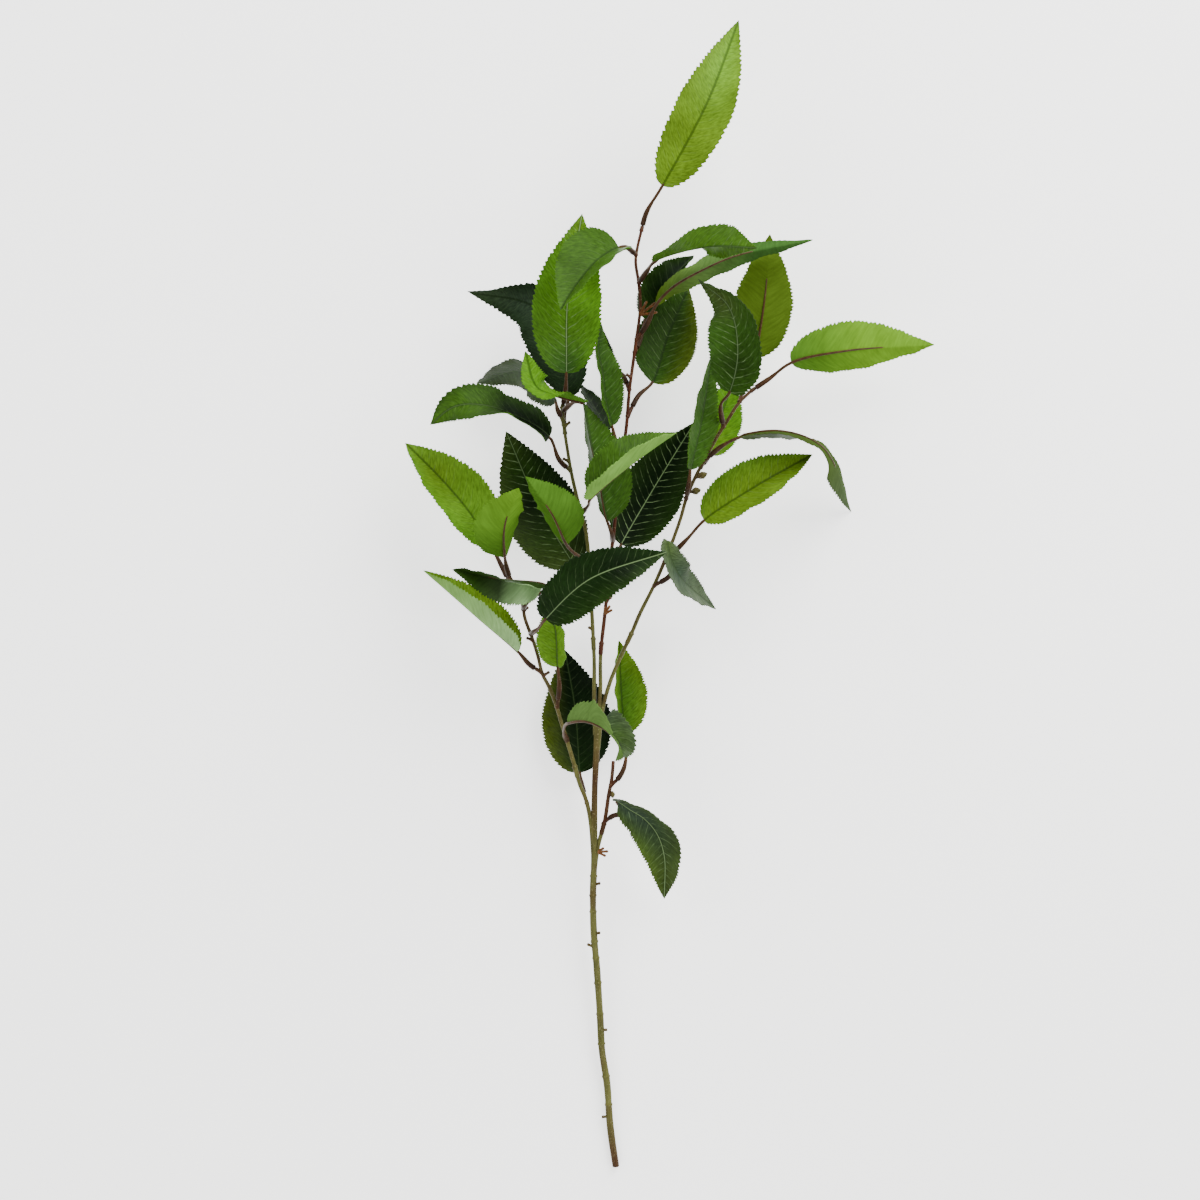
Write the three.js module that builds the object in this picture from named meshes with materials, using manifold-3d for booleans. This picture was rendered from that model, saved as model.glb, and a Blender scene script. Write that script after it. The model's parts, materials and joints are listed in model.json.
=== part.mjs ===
// An artificial osmanthus branch that lies on a flat surface, built from plastic-coated stems and
// leaves. Each leaf is a serrated blade on a moulded spine, whose stalk ends in a socket that is
// pushed on a peg of the stem.
// Millimetres, +Z up. The branch points along +Y. Layout points are measured from the middle of the
// cut end on the surface, and ORIGIN then moves the whole branch to the middle of its own box.

import * as THREE from "three";
import { mergeVertices } from "three/addons/utils/BufferGeometryUtils.js";
import Module from "manifold-3d";

const wasm = await Module();
wasm.setup();

// Driving dimensions

const ORIGIN = new THREE.Vector3(34.225, 374.305, 0);
const UP = new THREE.Vector3(0, 0, 1);
const CLEARANCE = 0.3;

const BLADE_THICKNESS = 0.7;
const TEETH = 6;
const TOOTH_DEPTH = 1.2;
const WIDEST_AT = 0.42;
const BASE_SHARE = 0.16;
const TIP_SHARE = 0.04;
const BASE_POWER = 2.2;
const TIP_POWER = 1.7;

const SPINE_SHARE = 0.62;
const SPINE_RADIUS = 0.95;
const SPINE_END_RADIUS = 0.4;
const SPINE_GRIP = 0.1;
const STALK_RADIUS = 1.0;
const SOCKET_RADIUS = 1.9;
const SOCKET_LENGTH = 17;
const PEG_RADIUS = 0.8;
const PEG_LENGTH = 5.5;
const STUB_RADIUS = 1.2;
const STALK_SIDES = 4;

const STEM_SIDES = 7;
const BRANCH_SIDES = 6;
const TWIG_SIDES = 4;
const STEM_STEP = 26;
const COLLAR_HEIGHT = 0.45;
const COLLAR_LENGTH = 1.2;
const JOINT_PEG_RADIUS = 0.75;
const JOINT_PEG_LENGTH = 6;
const JOINT_SLEEVE = 0.35;

// The main stem's centre line, from the cut end to the top of the bundle, with its collars and nubs.
const MAIN_STEM = {
  line: [
    [0, 0, 2.1], [-4, 28, 3.5], [-6, 56, 5], [-9.4, 79, 6.5], [-10.7, 102, 8], [-12.7, 133, 11],
    [-14.7, 156, 14], [-15.3, 182, 17], [-14.7, 204, 19.5], [-14.5, 230, 23], [-14, 257, 26],
    [-13, 280, 29], [-13, 303, 33],
  ],
  radius: [2.4, 2.3, 2.0],
  collars: [42, 61, 83, 103, 124, 141, 152, 172, 183, 196],
  nubs: [
    { at: 34, toward: [-1, 0, 0.4], length: 4.5 },
    { at: 92, toward: [1, 0.2, 0.6], length: 4 },
    { at: 148, toward: [-1, 0.5, 0.5], length: 5.5 },
    { at: 157, toward: [1, 0.3, 0.6], length: 4 },
    { at: 190, toward: [1, 0.3, 0.5], length: 4.5 },
  ],
};

// Each branch leaves the main stem as a stub that is part of it, up to the joint, where the branch's
// sleeve takes over. joint and every nub are heights along +Y.
const BRANCHES = {
  branch_left: {
    line: [
      [-15, 207, 20], [-17, 233, 23], [-20, 247, 25], [-24, 257, 27], [-27, 268, 28], [-32, 285, 31],
      [-36, 298, 34], [-40, 312, 38], [-44, 322, 41], [-48, 330, 44], [-51, 342, 47], [-54, 352, 50],
      [-59, 366, 54], [-61, 376, 57], [-66, 384, 60], [-68, 391, 62],
    ],
    radius: [1.5, 1.05],
    joint: 262,
    nubs: [
      { at: 329, toward: [1, 0.6, 0.8], length: 6 },
      { at: 352, toward: [-1, 0.4, 0.6], length: 5 },
      { at: 371, toward: [1, 0.8, 0.5], length: 4 },
    ],
  },
  branch_centre_left: {
    line: [
      [-14, 290, 30], [-14.5, 319, 37], [-14.5, 339, 40], [-15, 351, 42], [-16, 370, 44],
      [-17, 388, 46], [-18, 406, 48], [-20, 423, 50], [-25, 442, 52], [-29, 459, 54],
      [-32, 477, 56], [-34, 491, 58], [-35, 501, 60],
    ],
    radius: [1.35, 1.1],
    joint: 346,
    nubs: [
      { at: 359, toward: [-1, 0.5, 0.8], length: 3.5 },
      { at: 467, toward: [-1, 0.5, 0.4], length: 5 },
      { at: 489, toward: [1, 0.9, 0.2], length: 5.5 },
    ],
  },
  branch_leader: {
    line: [
      [-13, 290, 31], [-10.5, 319, 38], [-10.5, 336, 41], [-10, 347, 43], [-8, 365, 45],
      [-6, 384, 47], [-4, 404, 50], [-2, 420, 53], [0, 442, 57], [2, 463, 60], [6, 487, 63],
      [8, 511, 65], [12, 541, 67], [15, 565, 68], [14, 580, 68], [12, 594, 68], [13, 602, 68],
      [15.5, 613, 68],
    ],
    radius: [1.3, 1.0],
    joint: 343,
    nubs: [
      { at: 369, toward: [0.5, 0.8, 0.8], length: 7 },
      { at: 377, toward: [1, 0.9, 0.5], length: 5 },
      { at: 560, toward: [1, 0.7, 0.3], length: 13 },
      { at: 520, toward: [-1, 0.7, 0.5], length: 4 },
    ],
  },
  branch_right: {
    line: [
      [-12, 280, 29], [-9, 307, 34], [-4, 325, 38], [0, 335, 40], [5, 346, 42], [10, 357, 44],
      [15, 369, 46], [24, 387, 49], [31, 403, 51], [35, 413, 53], [41, 430, 55], [45, 444, 57],
      [51, 458, 59], [56, 467, 60], [64, 482, 60], [71, 493, 60], [78, 504, 59], [86, 512, 58],
    ],
    radius: [1.4, 1.05],
    joint: 350,
    nubs: [
      { at: 447, toward: [1, 0.2, 0.6], length: 8 },
      { at: 456, toward: [1, 0.4, 0.4], length: 8 },
    ],
  },
  branch_low_right: {
    line: [
      [-14.5, 196, 19], [-12, 216, 20.5], [-9, 227, 21.5], [-7, 236, 22.5], [-5, 250, 24],
      [-3, 261, 27], [-2, 272, 30],
    ],
    radius: [1.5, 1.2],
    joint: 224,
    nubs: [
      { at: 212, toward: [1, 0.1, 0.5], length: 7 },
      { at: 250, toward: [1, 0.1, 0.3], length: 3 },
    ],
  },
};

// Leaves, one row each: the stem that carries it and the height along it, the points of the stalk
// between the stem and the blade, the rib from base to tip, the blade's width, and its roll at even
// steps from base to tip (0 shows the upper side from above, 180 the underside). Then for the left
// and the right half the fold at the rib and the curl out to the edge. Angles are in degrees.
const LEAVES = {
  leaf_top: {
    on: "branch_leader", at: 613, stalk: [[19, 625, 70]],
    rib: [[29, 641, 75], [56, 690, 82], [78, 748.6, 64]],
    width: 38, roll: [5, 0], fold: [8, 8], curl: [10, 10], colour: "light",
  },
  leaf_02: {
    on: "branch_centre_left", at: 501, stalk: [[-33, 509, 66]],
    rib: [[-32, 522, 76], [-31, 567, 88], [-22, 621, 86]],
    width: 46, roll: [0, 0], fold: [8, 8], curl: [12, 12], colour: "light",
  },
  leaf_03: {
    on: "branch_leader", at: 598, stalk: [[6, 601, 80]],
    rib: [[1, 600, 86], [-11, 591, 100], [-21, 579, 109], [-29, 567, 115], [-35, 556, 120]],
    width: 46, roll: [0, 0], fold: [62, 0], curl: [12, 12], colour: "light",
  },
  leaf_04: {
    on: "branch_centre_left", at: 485, stalk: [[-34, 497, 50]],
    rib: [[-31, 510, 45], [-39, 544, 38], [-53, 568, 42], [-96, 577, 52]],
    width: 40, roll: [0, -10, -60], fold: [8, 8], curl: [14, 14], colour: "dark",
  },
  leaf_05: {
    on: "branch_centre_left", at: 493, stalk: [[-38, 500, 66]],
    rib: [[-39, 504, 66], [-60, 526, 44], [-93, 523, 0]],
    width: 32, roll: [-60, -60], fold: [14, 14], curl: [14, 14], colour: "dark",
  },
  leaf_06: {
    on: "branch_centre_left", at: 461, stalk: [[-37, 468, 62]],
    rib: [[-43, 482, 70], [-63, 494, 84], [-85, 500.5, 90], [-102, 499.5, 90], [-118, 489, 80]],
    width: 36, roll: [40, 60, 68, 40, 0, -10], fold: [10, 10], curl: [14, 14], colour: "mixed",
  },
  leaf_07: {
    on: "branch_centre_left", at: 499, stalk: [[-27, 503, 80]],
    rib: [[-21, 502, 92], [-36, 505, 100], [-50, 510, 108], [-57, 532, 110]],
    width: 26, roll: [85, 85, 30, 0], fold: [10, 10], curl: [14, 14], colour: "light",
  },
  leaf_08: {
    on: "branch_leader", at: 416, stalk: [[-3, 420, 66]],
    rib: [[-6, 428, 72], [-11, 454, 76], [-16, 476, 78], [-21, 503, 76]],
    width: 44, roll: [20, 20], fold: [-108, 5], curl: [14, 10], colour: "mid",
  },
  leaf_09: {
    on: "branch_centre_left", at: 434, stalk: [[-18, 438, 80]],
    rib: [[-16, 442, 96], [6, 460, 110], [37, 483, 94]],
    width: 40, roll: [-10, -10], fold: [0, 95], curl: [10, 10], colour: "light",
  },
  leaf_10: {
    on: "branch_leader", at: 402, stalk: [[0, 407, 46]],
    rib: [[3, 414, 40], [25, 452, 30], [51, 494, 34]],
    width: 44, roll: [0, 0], fold: [8, 8], curl: [8, 8], colour: "black",
  },
  leaf_11: {
    on: "branch_centre_left", at: 388, stalk: [[-22, 393, 40]],
    rib: [[-27, 400, 36], [-51, 440, 28], [-72, 488, 34]],
    width: 52, roll: [0, 0], fold: [8, 8], curl: [8, 8], colour: "dark",
  },
  leaf_12: {
    on: "branch_centre_left", at: 402, stalk: [[-26, 407, 62]],
    rib: [[-32, 413, 72], [-41, 432, 92], [-57, 455, 98]],
    width: 40, roll: [185, 185], fold: [0, 72], curl: [14, 14], colour: "light",
  },
  leaf_13: {
    on: "branch_left", at: 391, stalk: [[-70, 398, 68]],
    rib: [[-71, 405, 76], [-70, 425, 98], [-61, 447, 114]],
    width: 40, roll: [180, 180], fold: [60, 0], curl: [14, 14], colour: "light",
  },
  leaf_14: {
    on: "branch_left", at: 385, stalk: [[-76, 404, 58]],
    rib: [[-81, 413, 56], [-95, 435, 62], [-111, 454, 62], [-136, 479, 54]],
    width: 42, roll: [0, 0], fold: [48, 0], curl: [10, 10], colour: "light",
  },
  leaf_15: {
    on: "branch_left", at: 372, stalk: [[-58, 376, 68]],
    rib: [[-45, 387, 84], [-73, 391, 94], [-103, 397, 96]],
    width: 32, roll: [180, 200, 230], fold: [-120, 5], curl: [14, 14], colour: "dark",
  },
  leaf_16: {
    on: "branch_left", at: 331, stalk: [[-56, 336, 46]],
    rib: [[-64, 345, 50], [-87, 365, 60], [-124, 397, 56]],
    width: 34, roll: [10, 10], fold: [112, 0], curl: [14, 14], colour: "light",
  },
  leaf_17: {
    on: "branch_left", at: 356, stalk: [[-50, 360, 72]],
    rib: [[-45, 366, 86], [-17, 391, 108], [31, 408, 100]],
    width: 36, roll: [10, 0], fold: [10, 10], curl: [12, 12], colour: "dark",
  },
  leaf_18: {
    on: "branch_right", at: 387, stalk: [[35, 395, 57], [33, 406, 58]],
    rib: [[32, 416, 66], [34, 405, 70], [40, 393, 66], [47, 386, 56], [65, 372, 34]],
    width: 24, roll: [-50, -55, -60], fold: [20, 0], curl: [14, 14], colour: "dark",
  },
  leaf_19: {
    on: "branch_left", at: 308, stalk: [[-37, 322, 46]],
    rib: [[-38, 335, 50], [-39, 357, 58], [-43, 378, 62]],
    width: 28, roll: [0, 0], fold: [0, 60], curl: [14, 14], colour: "light",
  },
  leaf_20: {
    on: "branch_left", at: 244, stalk: [[-22, 254, 21]],
    rib: [[-24, 264, 17], [-27, 304, 9], [-34, 345, 14]],
    width: 48, roll: [0, 0], fold: [8, 8], curl: [6, 6], colour: "black",
  },
  leaf_21: {
    on: "branch_low_right", at: 256, stalk: [[2, 262, 28], [6, 272, 31]],
    rib: [[5, 290, 25], [3, 319, 20], [2, 351, 12]],
    width: 36, roll: [0, 0], fold: [75, 0], curl: [10, 10], colour: "light",
  },
  leaf_22: {
    on: "branch_left", at: 286, stalk: [[-34, 294, 58]],
    rib: [[-31, 300, 76], [-20, 302, 91], [-10, 299, 100], [0, 290, 96], [3, 277, 70]],
    width: 30, roll: [-150, -150, -45, -15, -15], fold: [45, 45], curl: [14, 14], colour: "dark",
  },
  leaf_23: {
    on: "branch_low_right", at: 232, stalk: [[-1, 237, 28], [5, 238, 31]],
    rib: [[0, 247, 37], [9, 242, 44], [18, 236.5, 47], [26, 227, 46], [31, 212, 42], [31.5, 182, 26]],
    width: 32, roll: [45, 30, 5, 0, 0], fold: [30, 8], curl: [14, 14], colour: "mid",
  },
  leaf_24: {
    on: "branch_right", at: 402, stalk: [[46, 418, 60]],
    rib: [[56, 429, 66], [88, 450, 74], [125, 471, 64]],
    width: 38, roll: [0, 0], fold: [0, 50], curl: [10, 10], colour: "light",
  },
  leaf_25: {
    on: "branch_right", at: 467, stalk: [[67, 476, 70]],
    rib: [[78, 481, 78], [102, 484, 84], [131, 476, 62], [157, 437, 0]],
    width: 30, roll: [80, 95, 130, 130], fold: [8, 8], curl: [14, 14], colour: "dark",
  },
  leaf_26: {
    on: "branch_right", at: 512, stalk: [[98, 520, 60]],
    rib: [[112, 530, 62], [146, 537, 66], [205, 543, 50]],
    width: 40, roll: [180, 180], fold: [50, 5], curl: [10, 10], colour: "light",
  },
  leaf_27: {
    on: "branch_right", at: 505, stalk: [[83, 518, 52]],
    rib: [[89, 535, 52], [95, 571, 58], [99, 614, 50]],
    width: 40, roll: [180, 180], fold: [8, 8], curl: [10, 10], colour: "olive",
  },
  leaf_28: {
    on: "branch_right", at: 489, stalk: [[66, 502, 76]],
    rib: [[71, 509, 86], [75, 533, 104], [70, 559, 106], [51, 579, 92]],
    width: 38, roll: [0, 0, -15, -45, -65], fold: [5, 28], curl: [14, 14], colour: "dark",
  },
  leaf_29: {
    on: "branch_right", at: 443, stalk: [[46, 452, 68]],
    rib: [[47, 461, 71], [54, 493, 72], [60, 533, 68]],
    width: 28, roll: [50, 50], fold: [8, 8], curl: [14, 14], colour: "mid",
  },
  leaf_30: {
    on: "branch_right", at: 463, stalk: [[59, 470, 50]],
    rib: [[60, 472, 42], [67, 495, 38], [77, 523, 36]],
    width: 32, roll: [0, 0], fold: [8, 8], curl: [10, 10], colour: "olive",
  },
  leaf_31: {
    on: "branch_leader", at: 580, stalk: [[19, 586, 80]],
    rib: [[25, 590, 98], [56, 596, 114], [87, 598, 98]],
    width: 38, roll: [85, 75, 45, 20, 10], fold: [0, -50], curl: [14, 14], colour: "mid",
  },
  leaf_32: {
    on: "branch_leader", at: 544, stalk: [[19, 553, 72]],
    rib: [[25, 565, 78], [35, 575, 84], [55, 586, 88], [75, 595, 84], [125, 608, 66]],
    width: 31, roll: [185, 185, 190], fold: [56, 56], curl: [14, 14], colour: "dark",
  },
  leaf_33: {
    on: "branch_leader", at: 536, stalk: [[15, 545, 58]],
    rib: [[19, 559, 52], [33, 582, 54], [50, 601, 46]],
    width: 30, roll: [0, 0], fold: [8, 72], curl: [14, 14], colour: "black",
  },
  leaf_34: {
    on: "branch_leader", at: 495, stalk: [[14, 509, 60]],
    rib: [[23, 518, 56], [33, 548, 46], [47, 582, 36]],
    width: 42, roll: [0, 0], fold: [8, 8], curl: [14, 14], colour: "mid",
  },
  leaf_35: {
    on: "branch_leader", at: 470, stalk: [[-1, 480, 68]],
    rib: [[-3, 489, 70], [-7, 504, 75], [-9, 521, 77], [-12, 538, 77], [-10, 554, 74]],
    width: 28, roll: [30, 30], fold: [45, 5], curl: [14, 14], colour: "mid",
  },
  leaf_36: {
    on: "branch_leader", at: 458, stalk: [[-4, 469, 54]],
    rib: [[-7, 488, 48], [-15, 504, 42], [-24, 519, 36]],
    width: 26, roll: [60, 60], fold: [8, 8], curl: [14, 14], colour: "dark",
  },
  leaf_37: {
    on: "branch_leader", at: 512, stalk: [[3, 523, 58]],
    rib: [[-3, 521, 52], [-8, 538, 46], [-11, 557, 40]],
    width: 13, roll: [0, 0], fold: [8, 8], curl: [14, 14], colour: "dark",
  },
};

const LEAF_COLOURS = {
  light: 0x8fb832,
  olive: 0xa9b93a,
  mid: 0x4c8a22,
  dark: 0x1e3b14,
  mixed: 0x3a6a1c,
  black: 0x101e10,
};
const STEM_COLOUR = 0x7a7a3c;
const TWIG_COLOUR = 0x5b3a24;

// Solids

function vector([x, y, z]) {
  return new THREE.Vector3(x, y, z);
}

function curveThrough(points) {
  return new THREE.CatmullRomCurve3(points, false, "centripetal");
}

function solidOf(vertices, triangles) {
  const flat = new Float32Array(vertices.flatMap((v) => [v.x, v.y, v.z]));
  const triVerts = new Uint32Array(triangles.flat());
  return new wasm.Manifold(new wasm.Mesh({ numProp: 3, vertProperties: flat, triVerts }));
}

function solidOfGeometry(geometry) {
  geometry.deleteAttribute("normal");
  geometry.deleteAttribute("uv");
  const merged = mergeVertices(geometry, 1e-4);
  return new wasm.Manifold(
    new wasm.Mesh({
      numProp: 3,
      vertProperties: merged.attributes.position.array,
      triVerts: new Uint32Array(merged.index.array),
    }),
  );
}

function geometryOf(solid) {
  const mesh = solid.getMesh();
  const geometry = new THREE.BufferGeometry();
  geometry.setAttribute("position", new THREE.BufferAttribute(mesh.vertProperties, 3));
  geometry.setIndex(new THREE.BufferAttribute(mesh.triVerts, 1));
  geometry.computeVertexNormals();
  return geometry;
}

// A closed round sweep through rings. Each ring has a middle, the way forward and a radius; rings
// that step back along the way make a bore.
function sweep(rings, sides) {
  const vertices = [];
  const triangles = [];
  const across = new THREE.Vector3(0, 0, 1);
  if (Math.abs(rings[0].way.z) > 0.9) across.set(1, 0, 0);
  for (const { middle, way, radius } of rings) {
    across.addScaledVector(way, -across.dot(way)).normalize();
    const third = new THREE.Vector3().crossVectors(way, across);
    for (let k = 0; k < sides; k++) {
      const angle = (2 * Math.PI * k) / sides;
      vertices.push(
        middle
          .clone()
          .addScaledVector(across, radius * Math.cos(angle))
          .addScaledVector(third, radius * Math.sin(angle)),
      );
    }
  }
  for (let ring = 0; ring + 1 < rings.length; ring++) {
    for (let k = 0; k < sides; k++) {
      const a = ring * sides + k;
      const b = ring * sides + ((k + 1) % sides);
      triangles.push([a, b, b + sides], [a, b + sides, a + sides]);
    }
  }
  const last = (rings.length - 1) * sides;
  for (let k = 1; k + 1 < sides; k++) {
    triangles.push([0, k + 1, k], [last, last + k, last + k + 1]);
  }
  return solidOf(vertices, triangles);
}

// A curve that is walked by millimetres from its start.
function walk(points) {
  const curve = curveThrough(points);
  const parts = 40;
  const lengths = curve.getLengths(parts * (points.length - 1));
  const total = lengths.at(-1);
  const share = (distance) => THREE.MathUtils.clamp(distance / total, 0, 1);
  return {
    total,
    at: (distance) => curve.getPointAt(share(distance)),
    way: (distance) => curve.getTangentAt(share(distance)),
    distanceOfPoint: (index) => lengths[index * parts],
    ring(distance, radius) {
      return { middle: this.at(distance), way: this.way(distance), radius };
    },
    distanceAtHeight(y) {
      let low = 0;
      let high = total;
      while (high - low > 0.01) {
        const middle = (low + high) / 2;
        if (this.at(middle).y < y) low = middle;
        else high = middle;
      }
      return low;
    },
    gapTo(point) {
      const steps = Math.ceil(total);
      const gaps = Array.from({ length: steps + 1 }, (_, i) => this.at(i).distanceTo(point));
      return Math.min(...gaps);
    },
  };
}

// A value part of the way along an evenly spaced list.
function valueAlong(values, share) {
  const place = share * (values.length - 1);
  const index = Math.min(Math.floor(place), values.length - 2);
  return THREE.MathUtils.lerp(values[index], values[index + 1], place - index);
}

// Stems

function stretch(line, from, to, radiusAt, collars = []) {
  const rings = [];
  const steps = Math.max(2, Math.ceil((to - from) / STEM_STEP));
  const distances = Array.from({ length: steps + 1 }, (_, i) => from + ((to - from) * i) / steps);
  const free = distances.filter((d) => !collars.some((c) => Math.abs(c - d) < 8 * COLLAR_LENGTH));
  free.forEach((d) => rings.push({ distance: d, extra: 0 }));
  for (const collar of collars) {
    rings.push({ distance: collar, extra: COLLAR_HEIGHT });
    rings.push({ distance: collar + COLLAR_LENGTH, extra: 0 });
  }
  rings.sort((a, b) => a.distance - b.distance);
  return rings.map(({ distance, extra }) => line.ring(distance, radiusAt(distance) + extra));
}

function nub(line, { at, toward, length }, radius) {
  const start = line.at(line.distanceAtHeight(at));
  const way = vector(toward).normalize();
  const reach = radius + length;
  const ring = (distance, thickness) => ({
    middle: start.clone().addScaledVector(way, distance),
    way,
    radius: thickness,
  });
  return sweep([ring(0, 0.8), ring(reach * 0.75, 1.0), ring(reach, 0.5)], TWIG_SIDES);
}

// A peg on a stem for one leaf's socket: a short stub, then the thinner peg.
function peg(line, mouth) {
  const shoulder = mouth - CLEARANCE;
  return sweep(
    [
      line.ring(0, STUB_RADIUS),
      line.ring(shoulder, STUB_RADIUS),
      line.ring(shoulder, PEG_RADIUS),
      line.ring(mouth + PEG_LENGTH, PEG_RADIUS),
    ],
    TWIG_SIDES,
  );
}

const mainLine = walk(MAIN_STEM.line.map(vector));
const branchLines = Object.fromEntries(
  Object.entries(BRANCHES).map(([name, { line }]) => [name, walk(line.map(vector))]),
);

function mainTube() {
  const radiusAt = (distance) => valueAlong(MAIN_STEM.radius, distance / mainLine.total);
  const collars = MAIN_STEM.collars.map((y) => mainLine.distanceAtHeight(y));
  return sweep(stretch(mainLine, 0, mainLine.total, radiusAt, collars), STEM_SIDES);
}

function branchRadius(name) {
  const { radius } = BRANCHES[name];
  const { total } = branchLines[name];
  return (distance) => valueAlong(radius, distance / total);
}

function stub(name) {
  const line = branchLines[name];
  const joint = line.distanceAtHeight(BRANCHES[name].joint);
  const radiusAt = branchRadius(name);
  const end = joint - CLEARANCE;
  return sweep(
    [
      ...stretch(line, 0, end, radiusAt),
      line.ring(end, JOINT_PEG_RADIUS),
      line.ring(joint + JOINT_PEG_LENGTH, JOINT_PEG_RADIUS),
    ],
    BRANCH_SIDES,
  );
}

function branchTube(name) {
  const line = branchLines[name];
  const joint = line.distanceAtHeight(BRANCHES[name].joint);
  const radiusAt = branchRadius(name);
  const bore = JOINT_PEG_RADIUS + CLEARANCE;
  const sleeveEnd = joint + JOINT_PEG_LENGTH + 3;
  return sweep(
    [
      line.ring(joint + JOINT_PEG_LENGTH + CLEARANCE, bore),
      line.ring(joint, bore),
      line.ring(joint, radiusAt(joint) + JOINT_SLEEVE),
      line.ring(joint + JOINT_PEG_LENGTH, radiusAt(joint) + JOINT_SLEEVE),
      ...stretch(line, sleeveEnd, line.total, radiusAt),
    ],
    BRANCH_SIDES,
  );
}

// Leaves

// The blade's half width at a share of its length, as a share of the full half width.
function outline(share) {
  if (share < WIDEST_AT) {
    const back = (WIDEST_AT - share) / WIDEST_AT;
    return Math.max(BASE_SHARE, (1 - back ** BASE_POWER) ** (1 / BASE_POWER));
  }
  const ahead = (share - WIDEST_AT) / (1 - WIDEST_AT);
  return Math.max(TIP_SHARE, 1 - ahead ** TIP_POWER);
}

// The stalk and the rib are one curve from the stem's centre line to the blade's tip.
function leafLine({ on, at, stalk, rib }) {
  const carrier = branchLines[on];
  const start = carrier.at(carrier.distanceAtHeight(at));
  const line = walk([start, ...stalk.map(vector), ...rib.map(vector)]);
  line.bladeStart = line.distanceOfPoint(1 + stalk.length);
  return line;
}

// Where the socket's mouth clears the stem that it stands on.
function socketMouth(leaf, line) {
  const carrier = branchLines[leaf.on];
  const need = SOCKET_RADIUS + BRANCHES[leaf.on].radius[0] + CLEARANCE;
  let distance = 2;
  while (distance < line.bladeStart && carrier.gapTo(line.at(distance)) < need) distance += 0.5;
  return distance;
}

// The blade's frame at a share of its length: middle of the rib, way to the tip, right-hand side
// and face normal. Roll turns the face from straight up towards the right-hand side.
function bladeFrame(leaf, line, share) {
  const distance = THREE.MathUtils.lerp(line.bladeStart, line.total, share);
  const way = line.way(distance);
  const flatRight = new THREE.Vector3().crossVectors(way, UP).normalize();
  const flatFace = new THREE.Vector3().crossVectors(flatRight, way);
  const roll = THREE.MathUtils.degToRad(valueAlong(leaf.roll, share));
  const right = flatRight.clone().multiplyScalar(Math.cos(roll));
  right.addScaledVector(flatFace, -Math.sin(roll));
  const face = flatFace.clone().multiplyScalar(Math.cos(roll));
  face.addScaledVector(flatRight, Math.sin(roll));
  return { middle: line.at(distance), way, right, face };
}

// The face normal of one half of the blade, tilted up from the flat by an angle.
function tilted({ right, face }, side, tilt) {
  return face
    .clone()
    .multiplyScalar(Math.cos(tilt))
    .addScaledVector(right, -side * Math.sin(tilt));
}

// The middle of the fold. Its normal halves the angle between the two halves, and is long enough
// for the blade to keep its thickness there.
function foldPoint(leaf, line, share) {
  const frame = bladeFrame(leaf, line, share);
  const [left, right] = leaf.fold.map((angle) => THREE.MathUtils.degToRad(angle));
  const normal = tilted(frame, -1, left).add(tilted(frame, 1, right));
  return { point: frame.middle, normal: normal.multiplyScalar(2 / normal.lengthSq()) };
}

// A point of one half of the blade and the face normal there. side is -1 for the left half and 1
// for the right; out is the share of the half's width from the rib.
function bladePoint(leaf, line, share, side, out, notch = 0) {
  const frame = bladeFrame(leaf, line, share);
  const half = side < 0 ? 0 : 1;
  const fold = THREE.MathUtils.degToRad(leaf.fold[half]);
  const curl = THREE.MathUtils.degToRad(leaf.curl[half]);
  const width = (leaf.width / 2) * outline(share);
  const reach = Math.max(width * 0.4, width * out - notch);
  const angle = fold + (curl * reach) / width;
  const sideways = (width * (Math.sin(angle) - Math.sin(fold))) / curl;
  const upwards = (width * (Math.cos(fold) - Math.cos(angle))) / curl;
  const point = frame.middle
    .clone()
    .addScaledVector(frame.right, side * sideways)
    .addScaledVector(frame.face, upwards);
  return { point, normal: tilted(frame, side, angle) };
}

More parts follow.
